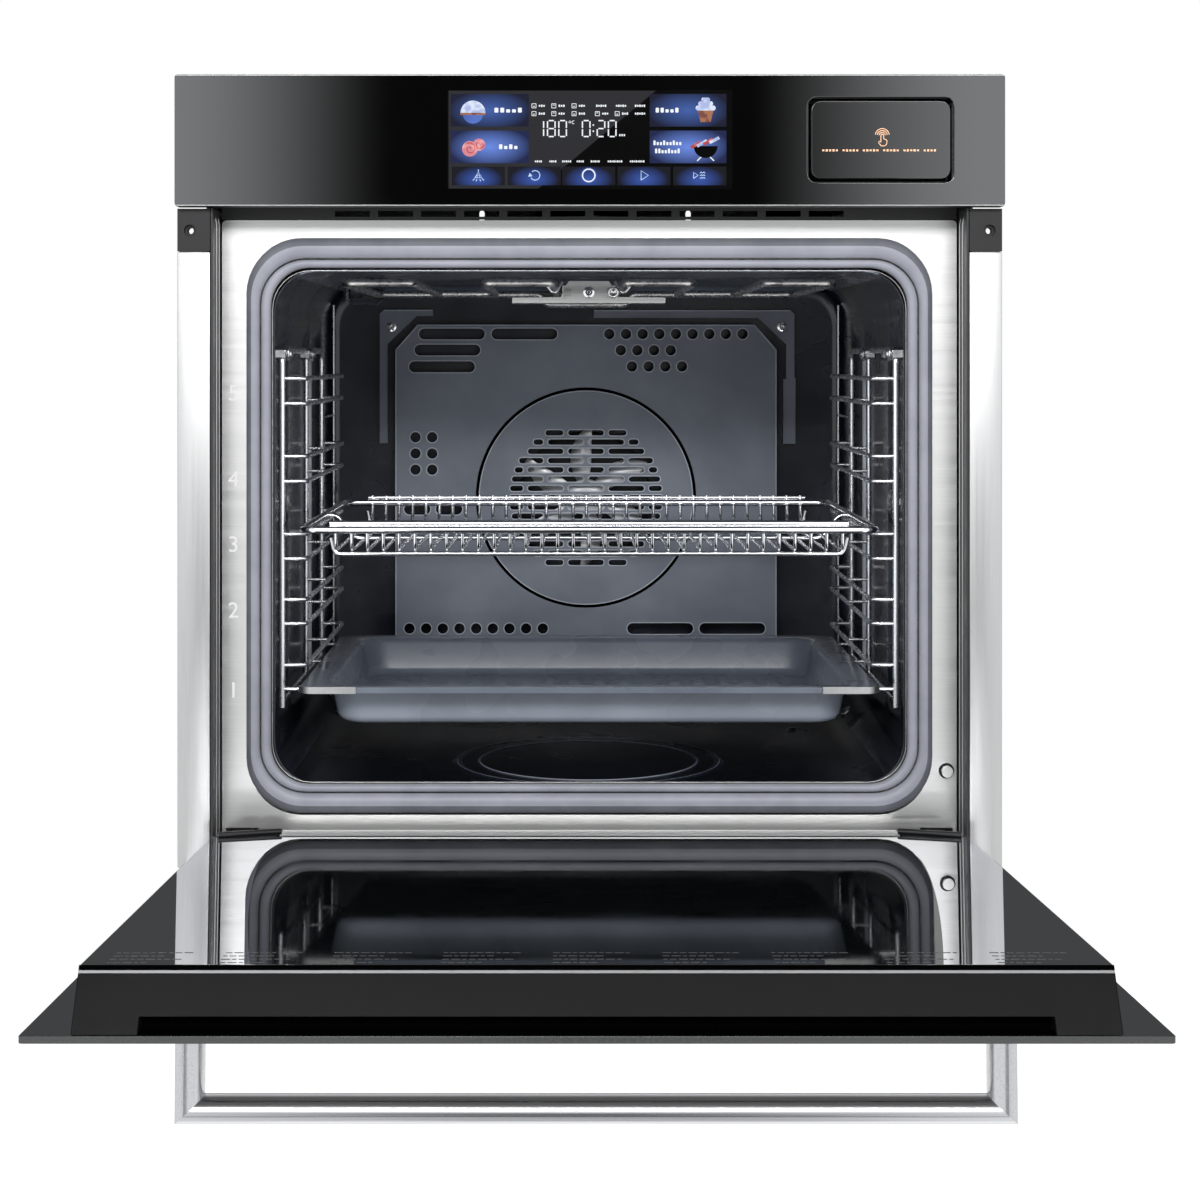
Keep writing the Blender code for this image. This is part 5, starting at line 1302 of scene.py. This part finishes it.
def make_handle():
    """A bar and two mitred legs of one section: a narrow flat outside, then a rounded inner side."""
    section = [(0.0008, 0.0), (0.0044, 0.0), (0.0046, 0.0002)]
    for a in (radians(9 * k) for k in range(1, 11)):
        section.append((0.0046 + 0.0099 * sin(a), 0.0002 + 0.0108 * (1 - cos(a))))
    for a in (radians(15 * k) for k in range(1, 7)):
        section.append((0.0145 - 0.0050 * (1 - cos(a)), 0.0110 + 0.0085 * sin(a)))
    section += [(0.0008, 0.0195), (0.0002, 0.0192), (0.0, 0.0187), (0.0, 0.0008), (0.0003, 0.0002)]
    front = HANDLE_Z + HANDLE_HEIGHT / 2
    outside, foot = DOOR_OUTER - HANDLE_REACH, DOOR_OUTER - 0.0002

    def ring(sign, y):
        """The section across a leg at one depth, or across the mitre when no depth is given."""
        points = []
        for u, v in section:
            depth = outside + u * BAR_SHARE if y is None else y
            points.append((sign * (HANDLE_HALF - u), depth, front - v))
        return points

    def part(name, rings):
        obj = loft(name, rings, caps=(True, True))
        obj.data.shade_smooth()
        obj.data.set_sharp_from_angle(angle=radians(30))
        return on_door(obj)

    rail = part("handle_rail", [ring(-1, None), ring(1, None)])
    piece(rail, "door", "handle_steel", ["handle_bar"])
    for side, sign in LEFT_RIGHT:
        leg = part("handle_leg_" + side, [ring(sign, foot), ring(sign, None)])
        # The legs take the darker steel as painted shade.
        piece(leg, "door", "post_painted_shade_steel", ["handle_post_" + side])


def make_door_print():
    """Rows of short printed dashes along the inner glass's upper edge."""
    shapes = []
    for column in range(9):
        start = -0.2570 + 0.0585 * column
        for row in range(4):
            length = 0.022 + 0.0045 * ((column * 5 + row * 3) % 5)
            z = 0.4410 - 0.0082 * row
            x, k = start, 0
            while x < start + length:
                width = 0.0022 + 0.0013 * ((column + row + k) % 3)
                shapes.append(outline_box((x, x + width), (z - 0.0008, z + 0.0008)))
                x += width + 0.0012
                k += 1
    print_plate = sheet("door_print", shapes, (DOOR_INNER + 0.00002, DOOR_INNER + 0.00008))
    piece(on_door(print_plate), "door", "door_print")


def make_window():
    """The inner glass's coated window: rounded towards the hinge, and narrower towards the handle."""
    near, widest, far = 0.0360, 0.1250, 0.4455  # heights on the closed door
    corner, half, taper = 0.2010, 0.2206, 0.0390

    def edge(sign):
        quarter = [radians(7.5 * k) for k in range(13)]
        curve = [(sign * (corner + (half - corner) * sin(a)), widest - (widest - near) * cos(a))
                 for a in quarter]
        steps = [k / 16 for k in range(1, 17)]
        return curve + [(sign * (half - taper * t**1.35), widest + (far - widest) * t) for t in steps]

    outline = edge(1) + edge(-1)[::-1]
    window = sheet("door_window_coating", [outline], (DOOR_INNER + 0.00001, DOOR_INNER + 0.00004))
    piece(on_door(window), "door", "window_glass")


def door_bar(name, corners, half, look, replaces=()):
    """A straight bar across the door; the corners are (y, z) on the closed door, from the hinge pin."""
    rings = [[(x, y, z) for y, z in corners] for x in (-half, half)]
    return piece(on_door(loft(name, rings, caps=(True, True), smooth=False)), "door", look, replaces)


def make_cap_details():
    """The cap's slot and upper lip in black painted shade, the satin line under the lip as a painted
    highlight of the cap's edge, and the outer glass's ground edge.
    """
    # The slot's black lining is painted shade.
    slot = [(-0.0138, 0.4535), (-0.0060, 0.4535), (-0.0060, 0.4545), (-0.0134, 0.4545), (-0.0134, 0.4655),
            (-0.0138, 0.4655)]
    door_bar("cap_slot_lining", slot, 0.2355, "painted_shade")
    top = Vector((DOOR_INNER, 0.4470))
    along = (Vector((-0.0137, 0.4655)) - top).normalized()
    out = Vector((along.y, -along.x))
    # The lip's black is painted shade; the satin line is a painted highlight.
    for name, start, end, lift, look in (
        ("lip", 0.0, 0.0028, 0.0003, "painted_shade"), ("line", 0.0029, 0.0044, 0.0004, "cap_edge_highlight")
    ):
        corners = [top + along * start - out * 0.0002, top + along * end - out * 0.0002,
                   top + along * end + out * lift, top + along * start + out * lift]
        door_bar("cap_" + name, corners, 0.2703, look)
    glass = frame["nodes"]["door_outer_glass"]
    glass.data.materials.append(LOOK["glass_edge"])
    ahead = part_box("door_outer_glass")[0].y + 0.0010
    for face in glass.data.polygons:
        if (glass.matrix_world @ face.center).y < ahead:
            face.material_index = 1


def make_bottom_rail():
    """The steel strip at the hinge side, with a channel in black painted shade between it and the inner
    glass.
    """
    foot, half = DOOR_OUTER + 0.0043, 0.2225
    low, strip = -0.0070, 0.0140
    rail = [(foot, low), (DOOR_INNER, low), (DOOR_INNER, strip), (DOOR_INNER - 0.0012, strip),
            (DOOR_INNER - 0.0012, low + 0.0012), (foot, low + 0.0012)]
    door_bar("door_steel_strip", rail, half, "front_steel", ["door_bottom_rail"])
    top = DOOR_INNER - 0.0016
    # The channel's black is painted shade.
    channel = [(0.0100, strip + 0.0001), (top, strip + 0.0001), (top, 0.0262), (0.0100, 0.0262)]
    door_bar("door_channel", channel, half, "painted_shade")


def make_door_details():
    make_handle()
    make_window()
    make_door_print()
    make_cap_details()
    make_bottom_rail()
    for side, sign in LEFT_RIGHT:
        ends = [(sign * 0.2650, DOOR_INNER + 0.0017, 0.0270), (sign * 0.2220, DOOR_INNER + 0.0017, 0.0110)]
        bar = wires("hinge_bar_" + side, [(ends, 0.0022)], "door", "dark_metal")
        on_door(bar)
        for row, z in enumerate((0.060, 0.400)):
            x = sign * 0.2685
            name = f"rail_screw_{side}_{row}"
            profile = [(0, 0.0042), (0.0008, 0.0042), (0.0016, 0.0032), (0.0018, 0.0016), (0.0009, 0.0010)]
            head = turned(name, (x, 0.0, z), (sign, 0, 0), profile, 20)
            piece(on_door(head), "door", "bracket")
        spring = []
        for k in range(40):
            x, z = 0.2555 + 0.0022 * cos(k * 0.9), 0.0245 + 0.0022 * sin(k * 0.9)
            spring.append((sign * x, at(0.004 + 0.0009 * k), z))
        wires("hinge_spring_" + side, [(spring, 0.0007)], "casing", "chrome")


# ---------------------------------------------------------------- casing trim
def casing_block(name, near, far, width=0.0012):
    """A rib, louvre or cover pressed from the casing's sheet."""
    piece(block(name, near, far, width), "casing", "casing")


def make_casing_details():
    """Screws, pressed ribs and louvres on the sides, top and rear, which a cabinet hides."""
    x_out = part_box("side_panel_right")[1].x
    screws = [(0.020, z) for z in (0.040, 0.250, 0.440)] + [(0.505, z) for z in (0.040, 0.290, 0.545)]
    for side, sign in LEFT_RIGHT:
        x = sign * x_out
        low, high = sorted((x, x + sign * 0.0016))
        for i, z in enumerate((0.120, 0.330)):
            casing_block(f"side_rib_{side}_{i}", (low, at(0.060), z), (high, at(0.470), z + 0.014))
        for i in range(9):
            y = at(0.300 + 0.018 * i)
            casing_block(f"side_louvre_{side}_{i}", (low, y, 0.4620), (high, y + 0.0070, 0.5200))
        for i, (depth, z) in enumerate(screws):
            hex_screw(f"side_screw_{side}_{i}", (x, at(depth), z), (sign, 0, 0), CASING_SCREW)

    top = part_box("top_cover")[1].z
    for i, y in enumerate((0.060, 0.150)):
        casing_block(f"top_rib_{i}", (-0.220, at(y), top), (0.220, at(y + 0.016), top + 0.0016))
    casing_block("blower_cover", (-0.100, at(0.285), top), (0.100, at(0.485), top + 0.0045), 0.0035)
    for i in range(10):
        x = -0.066 + 0.0147 * i
        near, far = (x - 0.0045, at(0.330), top + 0.0044), (x + 0.0045, at(0.440), top + 0.0062)
        casing_block(f"blower_louvre_{i}", near, far, 0.0015)
    screws = [(x, depth) for depth in (0.010, 0.500) for x in (-0.262, 0.262)]
    screws += [(0.0, 0.500), (-0.120, 0.3), (0.120, 0.3)]
    for i, (x, depth) in enumerate(screws):
        hex_screw(f"top_screw_{i}", (x, at(depth), top), (0, 0, 1), CASING_SCREW)

    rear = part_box("rear_cover")[1].y
    seams = [
        block("rear_panel", (-0.150, rear, 0.090), (0.150, rear + 0.0016, 0.430), 0.0012),
        block("rear_boss", (-0.060, rear + 0.0010, 0.190), (0.060, rear + 0.0040, 0.310), 0.0028),
    ]
    piece(merge("rear_access_panel", seams), "casing", "casing")
    plate = block("rating_plate", (-0.235, rear, 0.300), (-0.175, rear + 0.0004, 0.360), 0.0002)
    piece(plate, "casing", "trim_steel")
    spots = [(x, z) for z in (0.030, 0.545) for x in (-0.255, -0.085, 0.085, 0.255)]
    spots += [(-0.255, 0.290), (0.255, 0.290)]
    spots += [(x, z) for x in (-0.138, 0.138) for z in (0.102, 0.260, 0.418)]
    for i, (x, z) in enumerate(spots):
        depth = rear + (0.0014 if abs(x) < 0.15 and 0.09 < z < 0.43 else 0.0)
        hex_screw(f"rear_screw_{i}", (x, depth, z), (0, 1, 0), CASING_SCREW)


# ---------------------------------------------------------------- stage
SOFT_BOX_SPAN = (0.080, 0.190)  # each soft light's fade, as tangents of the angle aside
SOFT_BOX_LEVEL = (0.0, 1.15)
SKY_LEVEL, GROUND_LEVEL, REAR_LEVEL = 0.95, 0.50, 0.06
KEY_POWER, TOP_POWER = 17.0, 5.0


def make_camera():
    data = bpy.data.cameras.new("camera")
    data.lens = 66.2
    data.shift_x, data.shift_y = 0.0236, -0.2008
    data.clip_start, data.clip_end = 0.05, 60.0
    camera = link("camera", data)
    camera.location = (-0.0130, FACE - 1.622, 0.376)
    camera.rotation_euler = (pi / 2, 0, 0)
    bpy.context.scene.camera = camera


def area_light(name, place, target, size, power):
    data = bpy.data.lights.new(name, "AREA")
    data.shape = "RECTANGLE"
    data.size, data.size_y = size
    data.energy = power
    light = link(name, data)
    light.location = place
    light.rotation_mode = "QUATERNION"
    light.rotation_quaternion = (Vector(target) - Vector(place)).to_track_quat("-Z", "Y")


def make_stage():
    floor_z = -0.34
    corners = [(x, y, floor_z) for x, y in ((-0.9, -1.1), (0.9, -1.1), (0.9, 0.7), (-0.9, 0.7))]
    floor = mesh_of("studio_floor", corners, [(0, 1, 2, 3)])
    paint = material("studio_white", (0.30, 0.30, 0.30), 0.75, 0.0, Emission_Strength=1.0)
    shader(paint).inputs["Emission Color"].default_value = (1, 1, 1, 1)
    bump(paint, noise(paint, 40.0), 0.0002)
    floor.data.materials.append(paint)

    bpy.context.scene.world = studio_world()
    bpy.context.scene.view_settings.view_transform = "Standard"


def studio_world():
    """A white backdrop; reflections see tall soft lights either side of a dark gap, dim behind the oven."""
    world = bpy.data.worlds.new("studio")
    world.use_nodes = True
    tree = world.node_tree

    def node(kind, *values, **settings):
        made = tree.nodes.new(kind)
        for key, value in settings.items():
            setattr(made, key, value)
        for socket, value in zip(made.inputs, values):
            if isinstance(value, bpy.types.NodeSocket):
                tree.links.new(value, socket)
            elif value is not None:
                socket.default_value = value
        return made.outputs[0]

    def math(operation, *values):
        return node("ShaderNodeMath", *values, operation=operation)

    def ramp(value, low, high, start, end):
        return node("ShaderNodeMapRange", value, low, high, start, end, interpolation_type="SMOOTHSTEP")

    direction = tree.nodes.new("ShaderNodeSeparateXYZ")
    tree.links.new(tree.nodes.new("ShaderNodeTexCoord").outputs["Generated"], direction.inputs[0])
    x, y, z = direction.outputs
    aside = math("DIVIDE", math("ABSOLUTE", x), math("MAXIMUM", math("ABSOLUTE", y), 0.001))
    boxes = ramp(aside, *SOFT_BOX_SPAN, *SOFT_BOX_LEVEL)
    raised = ramp(z, 0.16, 0.30, 0.0, SKY_LEVEL)
    ground = ramp(z, -0.16, -0.06, GROUND_LEVEL, 0.0)
    bright = math("MAXIMUM", math("MAXIMUM", boxes, raised), ground)
    front = math("MULTIPLY", bright, ramp(z, 0.50, 0.85, 1.0, 0.06))
    rear = ramp(aside, 0.3, 1.2, REAR_LEVEL, 0.35)
    facing = ramp(y, -0.15, 0.15, 0.0, 1.0)
    ahead = math("MULTIPLY", front, math("SUBTRACT", 1.0, facing))
    level = math("ADD", ahead, math("MULTIPLY", rear, facing))

    lit = tree.nodes["Background"]
    lit.inputs["Color"].default_value = (0.97, 0.985, 1.0, 1.0)
    tree.links.new(level, lit.inputs["Strength"])
    white = tree.nodes.new("ShaderNodeBackground")
    white.inputs["Color"].default_value = (1.0, 1.0, 1.0, 1.0)
    path = tree.nodes.new("ShaderNodeLightPath")
    mix = tree.nodes.new("ShaderNodeMixShader")
    tree.links.new(path.outputs["Is Camera Ray"], mix.inputs["Fac"])
    tree.links.new(lit.outputs["Background"], mix.inputs[1])
    tree.links.new(white.outputs["Background"], mix.inputs[2])
    tree.links.new(mix.outputs["Shader"], tree.nodes["World Output"].inputs["Surface"])
    return world


def make_lights():
    for name, x, power in (("key", -0.5, KEY_POWER), ("fill", 0.5, KEY_POWER * 0.8)):
        area_light(name, (x, -2.2, 1.25), (0, 0, 0.25), (1.0, 0.4), power)
    area_light("top", (0, -0.3, 2.4), (0, -0.2, 0.2), (1.8, 0.9), TOP_POWER)


dress_nodes()
make_display()
make_tank_print()
make_fascia_trim()
make_level_numbers()
make_seal()
make_groove_ribs()
make_cavity()
make_rear_plate()
make_fan_cover()
make_fan()
make_grill()
make_ladders()
make_rack()
make_tray()
make_door_details()
make_casing_details()
make_camera()
make_stage()
make_lights()
